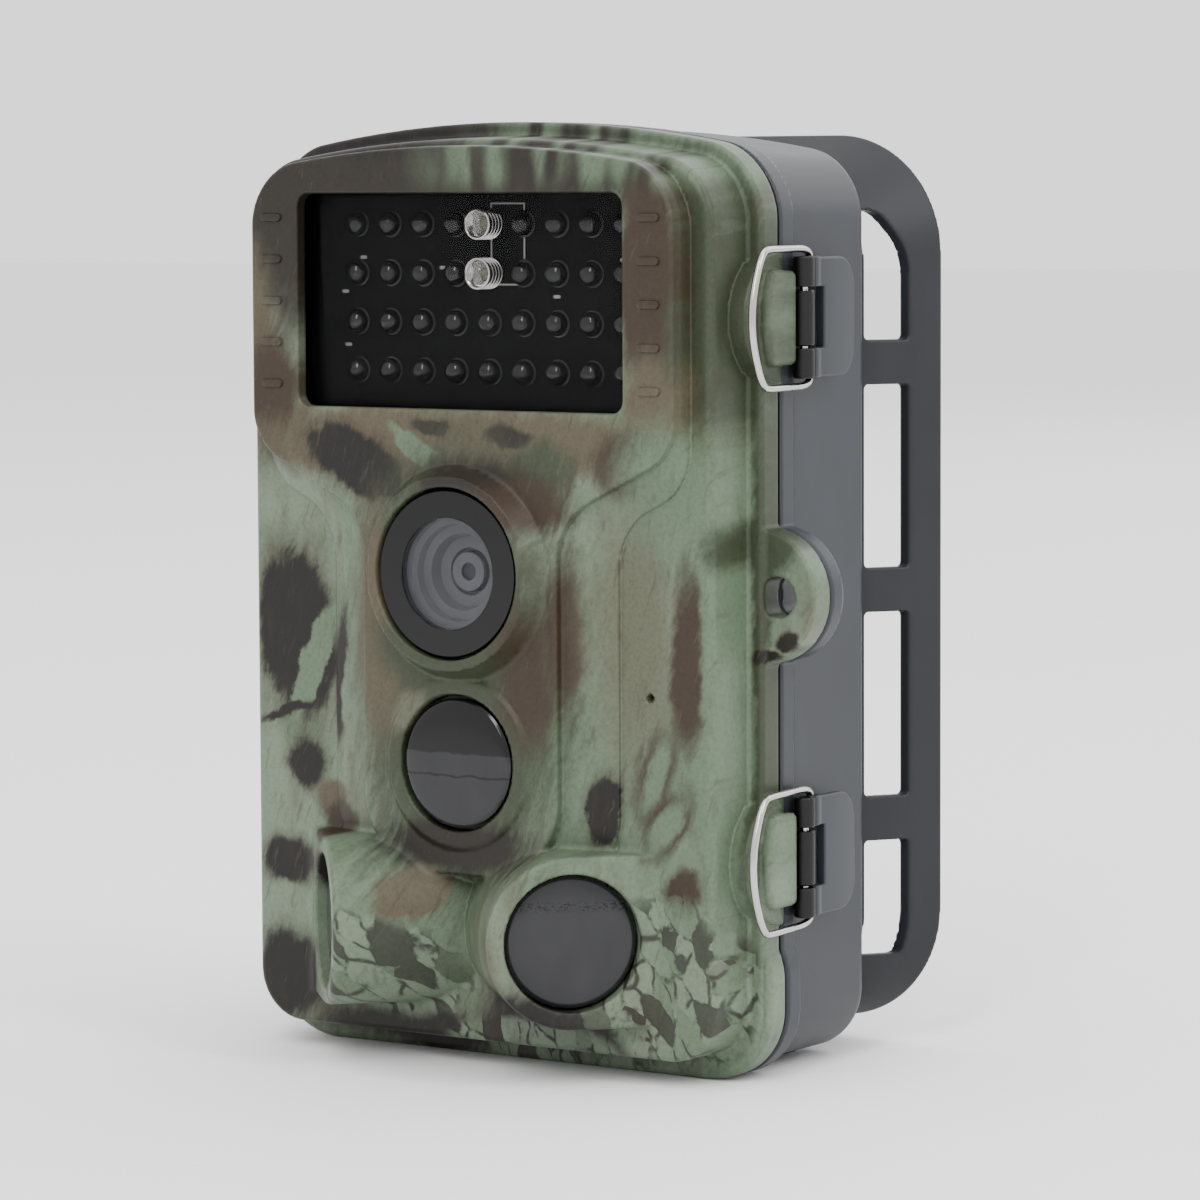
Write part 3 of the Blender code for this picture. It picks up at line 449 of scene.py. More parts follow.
class Nodes:
    """Small helper for writing one Principled material as nodes."""

    def __init__(self, name):
        self.material = bpy.data.materials.new(name)
        self.material.use_nodes = True
        self.tree = self.material.node_tree
        self.shader = self.tree.nodes["Principled BSDF"]
        self.place = self.add("ShaderNodeTexCoord").outputs["Object"]

    def add(self, kind, inputs=None, **settings):
        node = self.tree.nodes.new(kind)
        for key, value in settings.items():
            setattr(node, key, value)
        for key, value in (inputs or {}).items():
            self.put(node.inputs[key], value)
        return node

    def put(self, socket, value):
        if isinstance(value, bpy.types.NodeSocket):
            self.tree.links.new(value, socket)
        elif isinstance(value, tuple) and len(value) == 3 and socket.type == "RGBA":
            socket.default_value = (*value, 1.0)
        else:
            socket.default_value = value

    def math(self, operation, a, b=0.0, c=0.0, clamp=False):
        node = self.add("ShaderNodeMath", {0: a, 1: b, 2: c}, operation=operation, use_clamp=clamp)
        return node.outputs[0]

    def scaled(self, vector, size, offset=(0, 0, 0), turn=0.0):
        """Vector seen from offset, turned about Y by degrees and divided by size, in mm."""
        node = self.add("ShaderNodeMapping", {"Vector": vector}, vector_type="TEXTURE")
        node.inputs["Location"].default_value = [v * MM for v in offset]
        node.inputs["Rotation"].default_value = (0, -math.radians(turn), 0)
        node.inputs["Scale"].default_value = [v * MM for v in size]
        return node.outputs[0]

    def noise(self, vector, size, detail=2.0, rough=0.5, distortion=0.0):
        sizes = size if isinstance(size, tuple) else (size, size, size)
        node = self.add("ShaderNodeTexNoise", {"Vector": self.scaled(vector, sizes), "Scale": 1.0,
                        "Detail": detail, "Roughness": rough, "Distortion": distortion})
        return node.outputs["Fac"], node.outputs["Color"]

    def fade(self, value, low, high):
        """0 below low, 1 above high, smooth between."""
        node = self.add("ShaderNodeMapRange", {"Value": value, "From Min": low, "From Max": high},
                        interpolation_type="SMOOTHSTEP")
        return node.outputs[0]

    def spread(self, value, low, high):
        """Value from 0 to 1 taken onto the span from low to high."""
        return self.add("ShaderNodeMapRange", {"Value": value, "To Min": low, "To Max": high}).outputs[0]

    def mix(self, share, a, b, blend="MIX"):
        node = self.add("ShaderNodeMix", data_type="RGBA", blend_type=blend)
        self.put(node.inputs[0], share)
        self.put(node.inputs[6], a)
        self.put(node.inputs[7], b)
        return node.outputs[2]

    def warp(self, vector, amount, size, detail=2.0):
        """Vector pushed about by noise, amount and size in mm."""
        push = self.add("ShaderNodeVectorMath", {0: self.noise(vector, size, detail)[1],
                        1: (0.5, 0.5, 0.5)}, operation="SUBTRACT").outputs[0]
        push = self.add("ShaderNodeVectorMath", {0: push, "Scale": amount * 2 * MM},
                        operation="SCALE").outputs[0]
        return self.add("ShaderNodeVectorMath", {0: vector, 1: push}, operation="ADD").outputs[0]

    def bump(self, height, strength, depth):
        """Surface relief; depth is in mm."""
        node = self.add("ShaderNodeBump", {"Height": height, "Strength": strength, "Distance": depth * MM})
        self.put(self.shader.inputs["Normal"], node.outputs[0])

    def done(self, colour, rough, **more):
        self.shader.inputs["Specular IOR Level"].default_value = 0.3
        self.put(self.shader.inputs["Base Color"], colour)
        self.put(self.shader.inputs["Roughness"], rough)
        for key, value in more.items():
            self.put(self.shader.inputs[key.replace("_", " ")], value)
        return self.material


def tone(r, g, b, light=1.6):
    """Surface colour that shows as this 0 to 255 colour under the studio light."""
    seen = [c / 12.92 if c <= 0.04045 else ((c + 0.055) / 1.055) ** 2.4 for c in (r / 255, g / 255, b / 255)]
    return tuple(max(0.8 * c / light - 0.010, 0.0015) for c in seen)


GREEN = tone(126, 145, 120)
PALE = tone(146, 162, 140)
OLIVE = tone(82, 90, 72)
TAN = tone(112, 104, 86)
BROWN = tone(80, 68, 57)
KHAKI = tone(122, 124, 104)
DARK = tone(62, 58, 53)
CHAR = tone(52, 49, 47)

# Camouflage patches painted on the shell, far to near: centre x, z, half sizes, turn, edge, colour
PATCHES = (
    (0, 137, 52, 9, 0, 0.3, DARK), (-30, 130, 22, 20, 0, 0.4, DARK), (-20, 142, 30, 5, 0, 0.3, CHAR),
    (41, 112, 7, 26, 0, 0.4, OLIVE), (34, 120, 5, 18, 0, 0.3, BROWN), (35, 99, 5, 9, 0, 0.4, TAN),
    (-40, 108, 6, 16, 0, 0.4, TAN), (-35, 100, 6, 10, 0, 0.4, BROWN), (-36, 84, 5, 6, 0, 0.4, PALE),
    (0, 94, 40, 6, 0, 0.3, TAN), (-18, 91, 10, 4, -22, 0.14, CHAR), (-7, 93, 7, 1.6, -34, 0.2, GREEN),
    (-5, 97, 3.3, 1.2, 0, 0.2, DARK), (1, 94, 3, 3, 0, 0.25, TAN), (9, 96, 4, 1.5, 0, 0.3, DARK),
    (15, 91, 6, 4, 0, 0.4, OLIVE), (31, 91, 7, 5, 12, 0.3, BROWN), (0, 60, 19, 34, 0, 0.3, OLIVE),
    (4, 88, 10, 5, 0, 0.4, DARK), (-15, 67, 5, 17, 0, 0.4, TAN), (12, 86, 8, 4, 0, 0.4, BROWN),
    (13, 60, 5, 10, 0, 0.5, BROWN), (-9, 54, 4, 2.5, 30, 0.4, KHAKI), (-2, 63, 12, 6, 0, 0.4, OLIVE),
    (0, 34, 13, 4, 0, 0.3, DARK), (-34, 64, 7.5, 13, 6, 0.14, CHAR), (-31, 60, 2.4, 11, -25, 0.15, GREEN),
    (-25, 59, 1.2, 10, -4, 0.2, CHAR), (-36, 52, 5.5, 0.7, 14, 0.25, CHAR),
    (-39, 41, 3, 7, 0, 0.25, PALE), (-33, 44, 3.6, 4, 0, 0.2, CHAR), (-27, 39, 4, 3, 0, 0.3, TAN),
    (-25, 36, 4, 3, 0, 0.3, BROWN), (-36, 29, 5, 3, 0, 0.2, CHAR), (-36, 22, 5, 4, 0, 0.2, PALE),
    (-36, 11, 7, 7, 0, 0.18, CHAR), (19, 67, 2.5, 11, 0, 0.5, BROWN), (29, 66, 7, 19, 0, 0.6, KHAKI),
    (37, 88, 8, 9, 0, 0.5, GREEN), (38, 63, 2.8, 14, -3, 0.35, BROWN), (42, 66, 2, 24, 0, 0.4, GREEN),
    (45, 66, 1.5, 40, 0, 0.4, OLIVE), (24, 40, 2.4, 5.6, -12, 0.14, CHAR),
    (32, 46, 3, 7, -14, 0.4, BROWN), (32, 46, 1.8, 6, -14, 0.35, GREEN),
    (34.5, 39, 3, 6, -38, 0.4, BROWN), (34.5, 39, 1.8, 5, -38, 0.35, GREEN),
    (37, 29, 3.6, 3.4, 0, 0.3, BROWN), (15, 8, 14, 6, 0, 0.25, CHAR), (-14, 4, 15, 4, 0, 0.25, CHAR),
    (-25, 28, 4, 3.5, 0, 0.2, CHAR), (-6.5, 27, 4, 4, 0, 0.2, TAN), (49, 66, 1.6, 1.4, 0, 0.25, CHAR),
    (46, 63.5, 2.2, 1, 0, 0.25, CHAR), (46, 80, 5, 4, 0, 0.4, OLIVE),
)


def camouflage():
    n = Nodes("camo_print")
    flat = n.add("ShaderNodeVectorMath", {0: n.place, 1: (1.0, 0.3, 1.0)}, operation="MULTIPLY").outputs[0]
    loose = n.warp(n.warp(n.warp(flat, 2.2, 11.0), 0.9, 2.6, 3), 0.3, 0.8, 3)
    cloud = n.noise(flat, (16.0, 16.0, 34.0), 4, 0.6)[0]
    colour = n.mix(n.fade(cloud, 0.42, 0.62), GREEN, PALE)
    brown_cloud = n.noise(flat, (9.0, 12.0, 40.0), 3, 0.6)[0]
    colour = n.mix(n.math("MULTIPLY", n.fade(brown_cloud, 0.5, 0.72), 0.75), colour, TAN)
    strokes = n.scaled(n.warp(flat, 1.5, 6.0), (1.7, 1000.0, 7.5), (0, 0, 0), -20)
    fray = n.add("ShaderNodeTexNoise", {"Vector": strokes, "Scale": 1.0, "Detail": 6.0,
                                        "Roughness": 0.72}).outputs["Fac"]
    fray = n.math("MULTIPLY_ADD", fray, 0.8, -0.4)
    for x, z, half_x, half_z, turn, edge, shade in PATCHES:
        local = n.scaled(loose, (half_x, 1000.0, half_z), (x, 0, z), turn)
        reach = n.add("ShaderNodeVectorMath", {0: local}, operation="LENGTH").outputs["Value"]
        reach = n.math("ADD", reach, fray)
        if shade in (CHAR, DARK) and edge < 0.3:
            halo = n.math("MULTIPLY", n.fade(reach, 1.6, 0.9), 0.5)
            colour = n.mix(halo, colour, BROWN)
        colour = n.mix(n.fade(reach, 1.0 + edge, 1.0 - edge), colour, shade)

    # cracked bark, pale plates between dark lines, over the lower corners
    bark = n.scaled(n.warp(flat, 1.6, 6.0), (2.6, 2.6, 6.0), (0, 0, 0), 24)
    cells = {"Vector": bark, "Scale": 1.0}
    edge = n.add("ShaderNodeTexVoronoi", cells, feature="DISTANCE_TO_EDGE").outputs[0]
    plate = n.add("ShaderNodeTexVoronoi", cells).outputs["Color"]
    plate = n.add("ShaderNodeSeparateColor", {"Color": plate}).outputs[0]
    breaks = n.fade(n.noise(flat, 3.5, 3, 0.6)[0], 0.42, 0.56)
    line = n.math("MULTIPLY", n.fade(edge, 0.1, 0.02), breaks)
    bark_tone = n.mix(n.fade(plate, 0.3, 0.7), PALE, GREEN)
    bark_tone = n.mix(n.fade(plate, 0.74, 0.8), bark_tone, DARK)
    bark_tone = n.mix(line, bark_tone, CHAR)
    where = 0.0
    for x, z, half_x, half_z in ((34, 15, 11, 14), (-13, 15, 12, 9), (10, 3, 16, 6)):
        local = n.scaled(loose, (half_x, 1000.0, half_z), (x, 0, z), 0)
        reach = n.add("ShaderNodeVectorMath", {0: local}, operation="LENGTH").outputs["Value"]
        where = n.math("MAXIMUM", where, n.fade(reach, 1.1, 0.85))
    colour = n.mix(n.math("MULTIPLY", where, 0.8), colour, bark_tone)

    # upright grain along the top edge
    stripe = n.noise(n.warp(flat, 1.4, 8.0), (6.5, 60.0, 40.0), 2, 0.5)[0]
    height = n.add("ShaderNodeSeparateXYZ", {0: flat}).outputs[2]
    across = n.add("ShaderNodeSeparateXYZ", {0: flat}).outputs[0]
    upper = n.math("MULTIPLY", n.fade(height, 0.130, 0.135), n.fade(across, -0.012, 0.006))
    streak = n.mix(n.fade(stripe, 0.42, 0.6), DARK, GREEN)
    colour = n.mix(n.math("MULTIPLY", upper, 0.92), colour, streak)

    # brushed twigs and veins, slanted, thin and dark
    slant = n.scaled(n.warp(flat, 1.2, 5.0), (0.9, 1000.0, 6.5), (0, 0, 0), -18)
    twig = n.add("ShaderNodeTexNoise", {"Vector": slant, "Scale": 1.0, "Detail": 4.0,
                                        "Roughness": 0.6}).outputs["Fac"]
    colour = n.mix(n.math("MULTIPLY", n.fade(twig, 0.56, 0.68), 0.35), colour, BROWN)
    colour = n.mix(n.math("MULTIPLY", n.fade(twig, 0.4, 0.3), 0.12), colour, PALE)

    # sprayed speckle, scratches and slight wear
    speck = n.noise(n.place, 0.7, 3, 0.7)[0]
    colour = n.mix(n.math("MULTIPLY", n.fade(speck, 0.35, 0.75), 0.28), colour, OLIVE, "SOFT_LIGHT")
    blotch = n.noise(n.place, (3.0, 3.0, 9.0), 4, 0.65)[0]
    colour = n.mix(n.math("MULTIPLY", n.fade(blotch, 0.5, 0.8), 0.35), colour, BROWN)
    grain = n.noise(n.place, 0.25, 2, 0.6)[0]
    n.bump(grain, 0.25, 0.03)
    rough = n.spread(blotch, 0.34, 0.5)
    return n.done(colour, rough, IOR=1.47)


def plastic(name, base, rough=0.42, grain=0.35, depth=0.03, shade=0.12):
    """Moulded plastic: fine spark texture and slight flow shading."""
    n = Nodes(name)
    fine = n.noise(n.place, grain, 3, 0.65)[0]
    flow = n.noise(n.place, (9.0, 9.0, 22.0), 3, 0.5)[0]
    low = tuple(c * (1 - shade) for c in base)
    high = tuple(min(1.0, c * (1 + shade)) for c in base)
    colour = n.mix(n.fade(flow, 0.3, 0.7), low, high)
    colour = n.mix(n.math("MULTIPLY", n.fade(fine, 0.3, 0.8), 0.25), colour, high)
    n.bump(fine, 0.35, depth)
    spread = n.spread(flow, rough - 0.06, rough + 0.07)
    return n.done(colour, spread, IOR=1.48)


def metal(name, base, rough=0.16, size=(0.2, 0.2, 2.0)):
    n = Nodes(name)
    brushed = n.noise(n.place, size, 4, 0.6)[0]
    colour = n.mix(n.fade(brushed, 0.3, 0.7), tuple(c * 0.85 for c in base), base)
    n.bump(brushed, 0.12, 0.01)
    spread = n.spread(brushed, rough * 0.7, rough * 1.4)
    return n.done(colour, spread, Metallic=1.0)


def glossy(name, base, rough=0.05, speck=6.0, **more):
    """Polished dark plastic or glass with faint dust."""
    n = Nodes(name)
    dust = n.noise(n.place, speck, 4, 0.8)[0]
    dusty = tuple(min(1, c + 0.02) for c in base)
    colour = n.mix(n.math("MULTIPLY", n.fade(dust, 0.62, 0.8), 0.15), base, dusty)
    spread = n.spread(dust, rough, rough + 0.02)
    return n.done(colour, spread, **more)


def paint(obj, material):
    obj.data.materials.clear()
    obj.data.materials.append(material)
    return obj


def repaint(obj, region, material):
    """Second material on the faces that lie in a region or on its wall."""
    obj.data.materials.append(material)
    centers = np.array([face.center for face in obj.data.polygons]) / MM
    chosen = region(*centers.T) < 0.12
    obj.data.polygons.foreach_set("material_index", chosen.astype(np.int32))


def place(obj, body, nodes, material):
    """Puts a finished piece on its body, standing for its CAD nodes."""
    paint(obj, material)
    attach(obj, body)
    if nodes:
        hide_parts(*nodes)
    return obj


# ------------------------------------------------------------------ pieces

camo = camouflage()
grey = plastic("rear_grey", tone(74, 77, 82), 0.4)
bracket_grey = plastic("bracket_grey", tone(60, 62, 66), 0.46, 0.5, 0.05)
black = plastic("black_plastic", tone(34, 34, 36), 0.4)
steel = metal("steel", (0.5, 0.49, 0.47), 0.2)
lamp = glossy("lamp_epoxy", tone(10, 10, 12), 0.03, IOR=1.5, Specular_IOR_Level=0.5)
mask = glossy("mask_glass", tone(30, 30, 33), 0.06, IOR=1.5)

front = moulded("front_cover", front_field, (-51.5, -35.5, -1.5), (55.5, -0.8, 143.5), 0.55, 0.42)
place(front, "front_case", ["front_shell"], camo)
repaint(front, front_hollow, black)
rear = moulded("rear_case_shell", rear_field, (-51.5, -3.2, -1.5), (55.5, 25.2, 143.5), 0.6, 0.4)
place(rear, "rear_case", ["rear_shell"], grey)
repaint(rear, latch_knuckles, black)
bracket = moulded("tree_bracket", bracket_field, (-50.5, 22.8, 1.5), (50.5, 39.6, 142.0), 0.45, 0.35)
place(bracket, "rear_case", ["strap_bracket"], bracket_grey)
for latch, z0 in zip(("upper", "lower"), LATCH_Z):
    low, high = (44.2, -1.2, z0 - 10.2), (49.6, 16.2, z0 + 10.2)
    lever = moulded(latch + "_lever_plate", lever_field(z0), low, high, 0.24, 0.6)
    place(lever, latch + "_lever", [latch + "_latch_lever"], grey)
    repaint(lever, lambda x, y, z: y - 3.2, black)


def snout_frame(side):
    s = math.sqrt(0.5)
    return Vector((side * SNOUT[0], SNOUT[1], SNOUT[2])), Vector((side * s, -s, 0))


def led_place(column, row):
    return (column - 4) * LED_PITCH_X, 115.7 + (1.5 - row) * LED_PITCH_Z


def dome_profile(r, height, base=0.0, count=9):
    """Cylinder with a flange below and a round top."""
    profile = [(base, 0), (base, r * 1.12), (base + 0.45, r * 1.12), (base + 0.5, r)]
    straight = height - r * 0.95
    for k in range(count):
        a = math.pi / 2 * k / count
        profile.append((base + straight + r * 0.95 * math.sin(a), r * math.cos(a)))
    return profile + [(base + height, 0)]


def lamps():
    """Infrared lamps on their holder and the two clear lamps with their reflectors."""
    plate = slab_piece("holder_plate", rounded_outline(-34.4, 34.4, 95.5, 133.6, 1.5), -11.7, -10.7, 0.15)
    place(plate, "front_case", [], black_board)
    domes = []
    for column in range(LEDS_ACROSS):
        for row in range(LEDS_DOWN):
            if column == 4 and row < 2:
                continue
            x, z = led_place(column, row)
            domes.append(lathe("dome", (x, -11.6, z), (0, -1, 0), dome_profile(1.85, 2.6), 40))
    place(joined("infrared_lamps", domes), "front_case", ["ir_led_array"], lamp)
    for row, name in enumerate(("white_led_upper", "white_led_lower")):
        x, z = led_place(4, row)
        ribs = [(0, 0), (0, 2.35)]
        for k in range(5):
            rise = k * RIB_PITCH
            ribs += [(0.5 + rise, 2.35), (0.72 + rise, 1.75), (0.98 + rise, 1.75), (1.2 + rise, 2.35)]
        ribs += [(4.4, 2.35), (4.5, 2.1), (4.2, 1.7), (2.2, 0.7), (2.1, 0)]
        barrel = lathe(name + "_reflector", (x, -11.0, z), (0, -1, 0), ribs, 40)
        place(barrel, "front_case", [name], chrome)
        # Black rings laid in the reflector's grooves: painted shade in the chrome creases, not a part of the
        # lamp.
        groove_shade_rings = [lathe("groove", (x, -11.78 - k * RIB_PITCH, z), (0, -1, 0),
                         [(0, 1.7), (0, 2.12), (0.14, 2.12), (0.14, 1.7), (0, 1.7)], 40) for k in range(5)]
        place(joined(name + "_grooves", groove_shade_rings), "front_case", [], black)
        chip = [(0, 0), (0, 0.6), (0.25, 0.6), (0.35, 0.45), (0.35, 0)]
        place(lathe(name + "_chip", (x, -13.2, z), (0, -1, 0), chip, 20),
              "front_case", [], chip_yellow)
        lens = [(0, 0), (0, 1.85), (0.5, 1.85)] + [(0.5 + 1.5 * math.sin(a), 1.85 * math.cos(a))
                                                    for a in (0.25, 0.5, 0.75, 1.0, 1.25, 1.45)] + [(2.0, 0)]
        place(lathe(name + "_lens", (x, -14.6, z), (0, -1, 0), lens, 36),
              "front_case", [], clear)


def silk_lines():
    """White outline printed beside the clear lamps, broken between them."""
    bars = []
    for x0, x1, z0, z1 in ((-0.1, 6.2, 129.7, 129.95), (-0.1, 0.15, 125.4, 129.95),
                           (5.95, 6.2, 128.2, 129.95), (-0.1, 0.15, 121.6, 125.0),
                           (5.95, 6.2, 121.6, 125.0), (-0.1, 6.2, 117.6, 117.85),
                           (-0.1, 0.15, 117.6, 118.4), (5.95, 6.2, 117.6, 118.2)):
        bars.append(slab_piece("bar", [(x0, z0), (x1, z0), (x1, z1), (x0, z1)], -11.78, -11.68, 0.02))
    for x, z in ((-24, 121.7), (-27.5, 116.5), (-9, 120.2), (12, 116), (24, 121.5), (-27, 108.4)):
        outline = rounded_outline(x - 0.6, x + 0.6, z - 0.25, z + 0.25, 0.2, 2)
        bars.append(slab_piece("pad", outline, -11.85, -11.68, 0.04))
    place(joined("silk_marks", bars), "front_case", [], silk)


def optics():
    """Window pane, camera lens with its mask and cover glass, and the sensor lenses."""
    pane = slab_piece("window_pane", rounded_outline(-33.5, 33.5, 96.0, 133.2, 2.0), -18.2, -16.7, 0.3)
    place(pane, "front_case", ["ir_window"], pane_glass)
    ring = lathe("lens_mask", (0, -22.1, LENS_Z), (0, -1, 0),
                 [(0.1, 8.4), (0.1, 12.6), (1.2, 12.6), (1.5, 12.3), (1.5, 8.5), (1.4, 8.4), (0.1, 8.4)], 96)
    place(ring, "front_case", [], mask)
    cover = lathe("lens_cover", (0, -22.95, LENS_Z), (0, -1, 0),
                  [(0, 0), (0, 8.3), (0.5, 8.3), (0.6, 8.2), (0.6, 0)], 96)
    place(cover, "front_case", ["lens_window"], thin_glass)
    steps = [(0.4, 9.4), (0.4, 8.35), (0.9, 8.3), (1.0, 7.35), (2.3, 7.1), (2.35, 5.75), (4.2, 5.3),
             (4.3, 3.6), (5.2, 3.45), (5.3, 3.2), (9.0, 3.1), (9.0, 6.7), (4.6, 6.8), (4.6, 9.4), (0.4, 9.4)]
    place(lathe("lens_barrel_rings", (0, -22.0, LENS_Z), (0, 1, 0), steps, 96),
          "front_case", ["lens_barrel"], barrel_grey)
    crown = [(0.7 + 1.4 * math.sin(a), 3.0 * math.cos(a)) for a in np.linspace(0, 1.5, 10)]
    bulge = [(0, 0), (0, 3.0)] + crown + [(2.1, 0)]
    place(lathe("lens_element", (0, -15.6, LENS_Z), (0, -1, 0), bulge, 64),
          "front_case", ["front_lens_element"], element_glass)
    # Light grey ring laid on the front of the lens element: a painted ring highlight on the glass.
    ring_highlight = [(0, 1.35), (0, 2.9), (0.35, 2.9), (0.35, 1.35), (0, 1.35)]
    place(lathe("lens_iris", (0, -17.75, LENS_Z), (0, -1, 0), ring_highlight, 64),
          "front_case", [], barrel_grey)
    centres = {"center": (Vector((0, -20.6, PIR_Z)), Vector((0, -1, 0)), 9.7)}
    for side, name in ((-1, "left"), (1, "right")):
        spot, axis = snout_frame(side)
        centres[name] = (spot - axis * 2.7, axis, 9.8)
    for name, (spot, axis, r) in centres.items():
        shape = [(0, 0), (0, r), (0.5, r), (0.75, r - 0.3)]
        shape += [(0.75 + 0.55 * math.sin(a), (r - 0.3) * math.cos(a)) for a in np.linspace(0.15, 1.5, 14)]
        shape += [(1.3, 0)]
        place(lathe("sensor_lens_" + name, spot, axis, shape, 80), "front_case", ["pir_lens_" + name],
              fresnel_center if name == "center" else fresnel)


def smooth_path(points, count=8):
    """Catmull-Rom curve through points."""
    pts = np.array(points, float)
    ends = np.vstack([2 * pts[0] - pts[1], pts, 2 * pts[-1] - pts[-2]])
    out = []
    for a, b, c, d in zip(ends, ends[1:], ends[2:], ends[3:]):
        for t in np.arange(count) / count:
            out.append(0.5 * (2 * b + (c - a) * t + (2 * a - 5 * b + 4 * c - d) * t * t
                              + (3 * b - a - 3 * c + d) * t ** 3))
    return np.array(out + [pts[-1]])


def wire(name, route, radius, sides=14):
    """Round wire along a path, with closed ends."""
    path = np.array(route)
    along = np.gradient(path, axis=0)
    along /= np.linalg.norm(along, axis=1)[:, None]
    bm = bmesh.new()
    side = Vector(along[0]).orthogonal().normalized()
    rings = []
    for p, t in zip(path, along):
        t = Vector(t)
        side = (side - t * side.dot(t)).normalized()
        other = t.cross(side)
        rings.append([bm.verts.new((Vector(p) + (side * math.cos(a) + other * math.sin(a)) * radius) * MM)
                      for a in (2 * math.pi * k / sides for k in range(sides))])
    for low, high in zip(rings, rings[1:]):
        for k in range(sides):
            bm.faces.new((low[k], low[(k + 1) % sides], high[(k + 1) % sides], high[k]))
    bm.faces.new(rings[0][::-1])
    bm.faces.new(rings[-1])
    bmesh.ops.recalc_face_normals(bm, faces=bm.faces)
    mesh = bpy.data.meshes.new(name)
    bm.to_mesh(mesh)
    bm.free()
    mesh.shade_smooth()
    mesh.set_sharp_from_angle(angle=math.radians(50))
    return link(name, mesh)


def bails():
    """Bent wire of each latch, hooked over its catch."""
    half = [(46.5, 3.8, 7.7), (46.5, 3.8, 8.8), (46.55, 3.3, 9.6), (46.8, 1.4, 10.05), (47.2, -1.8, 10.1),
            (47.6, -5.0, 10.1), (48.2, -10.0, 10.05), (48.35, -11.6, 9.5), (48.4, -12.6, 8.2),
            (48.4, -13.2, 6.9), (48.4, -13.9, 5.0), (48.4, -14.5, 2.6), (48.4, -14.7, 0.0)]
    for latch, z0 in zip(("upper", "lower"), LATCH_Z):
        route = [(x, y, z0 + h) for x, y, h in half] + [(x, y, z0 - h) for x, y, h in half[-2::-1]]
        place(wire(latch + "_bail_wire", smooth_path(route, 5), 0.55), latch + "_bail",
              [latch + "_latch_bail"], steel)


def tally_marks():
    """Five short raised bars on each side of the lamp window."""
    bars = []
    for side in (-1, 1):
        for row in range(5):
            z = 127.8 - 6.29 * row
            outline = rounded_outline(side * 34.6 - 1.95, side * 34.6 + 1.95, z - 0.65, z + 0.65, 0.62)
            bars.append(slab_piece("bar", outline, -21.42, -20.5, 0.32))
    place(joined("tally_marks", bars), "front_case", [], camo)


def key_symbols():
    """Raised symbols on the keys: arrows, a ring and three bars."""
    arrow = [(-1.2, -0.8), (1.2, -0.8), (0.0, 1.2)]
    for name, (x, z), turn in (("up", (0, 62), 0), ("down", (0, 42), 180),
                               ("left", (10, 52), 270), ("right", (-10, 52), 90)):
        a = math.radians(turn)
        outline = [(x + u * math.cos(a) - v * math.sin(a), z + u * math.sin(a) + v * math.cos(a))
                   for u, v in arrow]
        place(slab_piece("symbol_" + name, outline, -2.75, -2.6, 0.04), "key_" + name, [], silk)
    band = [(0, 1.0), (0, 1.5), (0.1, 1.5), (0.1, 1.0), (0, 1.0)]
    ring = lathe("symbol_ok", (0, -2.72, 52), (0, 1, 0), band, 32)
    place(ring, "key_ok", [], silk)
    bars = [slab_piece("bar", rounded_outline(22.7, 25.3, z - 0.22, z + 0.22, 0.15, 2), -2.75, -2.6, 0.04)
            for z in (51.0, 52.0, 53.0)]
    place(joined("symbol_menu", bars), "key_menu", [], silk)


def contact_springs():
    """Coil springs at the negative ends of the cells."""
    coils = []
    for row_z in (42.0, 98.0):
        for k in range(4):
            x = (k - 1.5) * 15.2
            end = -1 if k % 2 == 0 else 1
            base = row_z + end * 26.1
            turns = [(x + (3.6 - 0.35 * t) * math.cos(2 * math.pi * t),
                      12.6 + (3.6 - 0.35 * t) * math.sin(2 * math.pi * t),
                      base - end * 0.2 * t) for t in np.linspace(0, 3.2, 64)]
            coils.append(wire("coil", turns, 0.16, 8))
    place(joined("contact_springs", coils), "rear_case", [], steel)


def board_parts():
    """Chips, passives and connectors on the main board, seen when the panel is off."""
    rng = np.random.default_rng(7)
    blocks = []
    for x, z, w, h, t in ((-8, 26, 5.5, 5.5, 1.0), (10, 22, 4, 3, 0.9),
                          (-20, 62, 4.5, 3.2, 0.9), (20, 70, 3, 3, 0.8)):
        outline = rounded_outline(x - w, x + w, z - h, z + h, 0.3, 2)
        blocks.append(slab_piece("chip", outline, -8.4 - t, -8.42, 0.15))
    for _ in range(40):
        x, z = rng.uniform(-30, 30), rng.uniform(12, 60)
        outline = rounded_outline(x - 0.5, x + 0.5, z - 0.3, z + 0.3, 0.1, 2)
        blocks.append(slab_piece("small", outline, -8.8, -8.42, 0.06))
    place(joined("board_parts", blocks), "front_case", [], black)


def finish_cad_nodes():
    """Softened edges and procedural materials on the CAD nodes that stay in view."""
    looks = {
        "battery_cell": sleeve, "battery_tray": inner_black, "button": rubber, "card": card_blue,
        "case_gasket": gasket, "contact_strip": steel, "dc_jack": black, "display_screen": screen,
        "hinge_pin": steel, "image_sensor": mask, "inner_panel": inner_black, "led_board": lamp_board,
        "main_board": green_board, "lens_mount": black, "memory_card": card_blue, "latch_pin": steel,
        "panel_screw": steel, "pir_sensor": steel, "port_flap": rubber, "power_switch": black,
        "speaker": black, "tripod_insert": brass, "upper_latch_pin": steel, "lower_latch_pin": steel,
    }
    for name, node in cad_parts.items():
        if node.hide_render:
            continue
        match = [look for key, look in looks.items() if key in name]
        paint(node, match[0] if match else black)
        weld = node.modifiers.new("weld", "WELD")
        weld.merge_threshold = 0.000005
        soften = node.modifiers.new("soften", "BEVEL")
        soften.width = 0.00018
        soften.segments = 2
        soften.limit_method = "ANGLE"
        soften.angle_limit = math.radians(40)
        soften.harden_normals = False
        node.data.shade_smooth()
        smooth = node.modifiers.new("normals", "WEIGHTED_NORMAL")
        smooth.keep_sharp = True


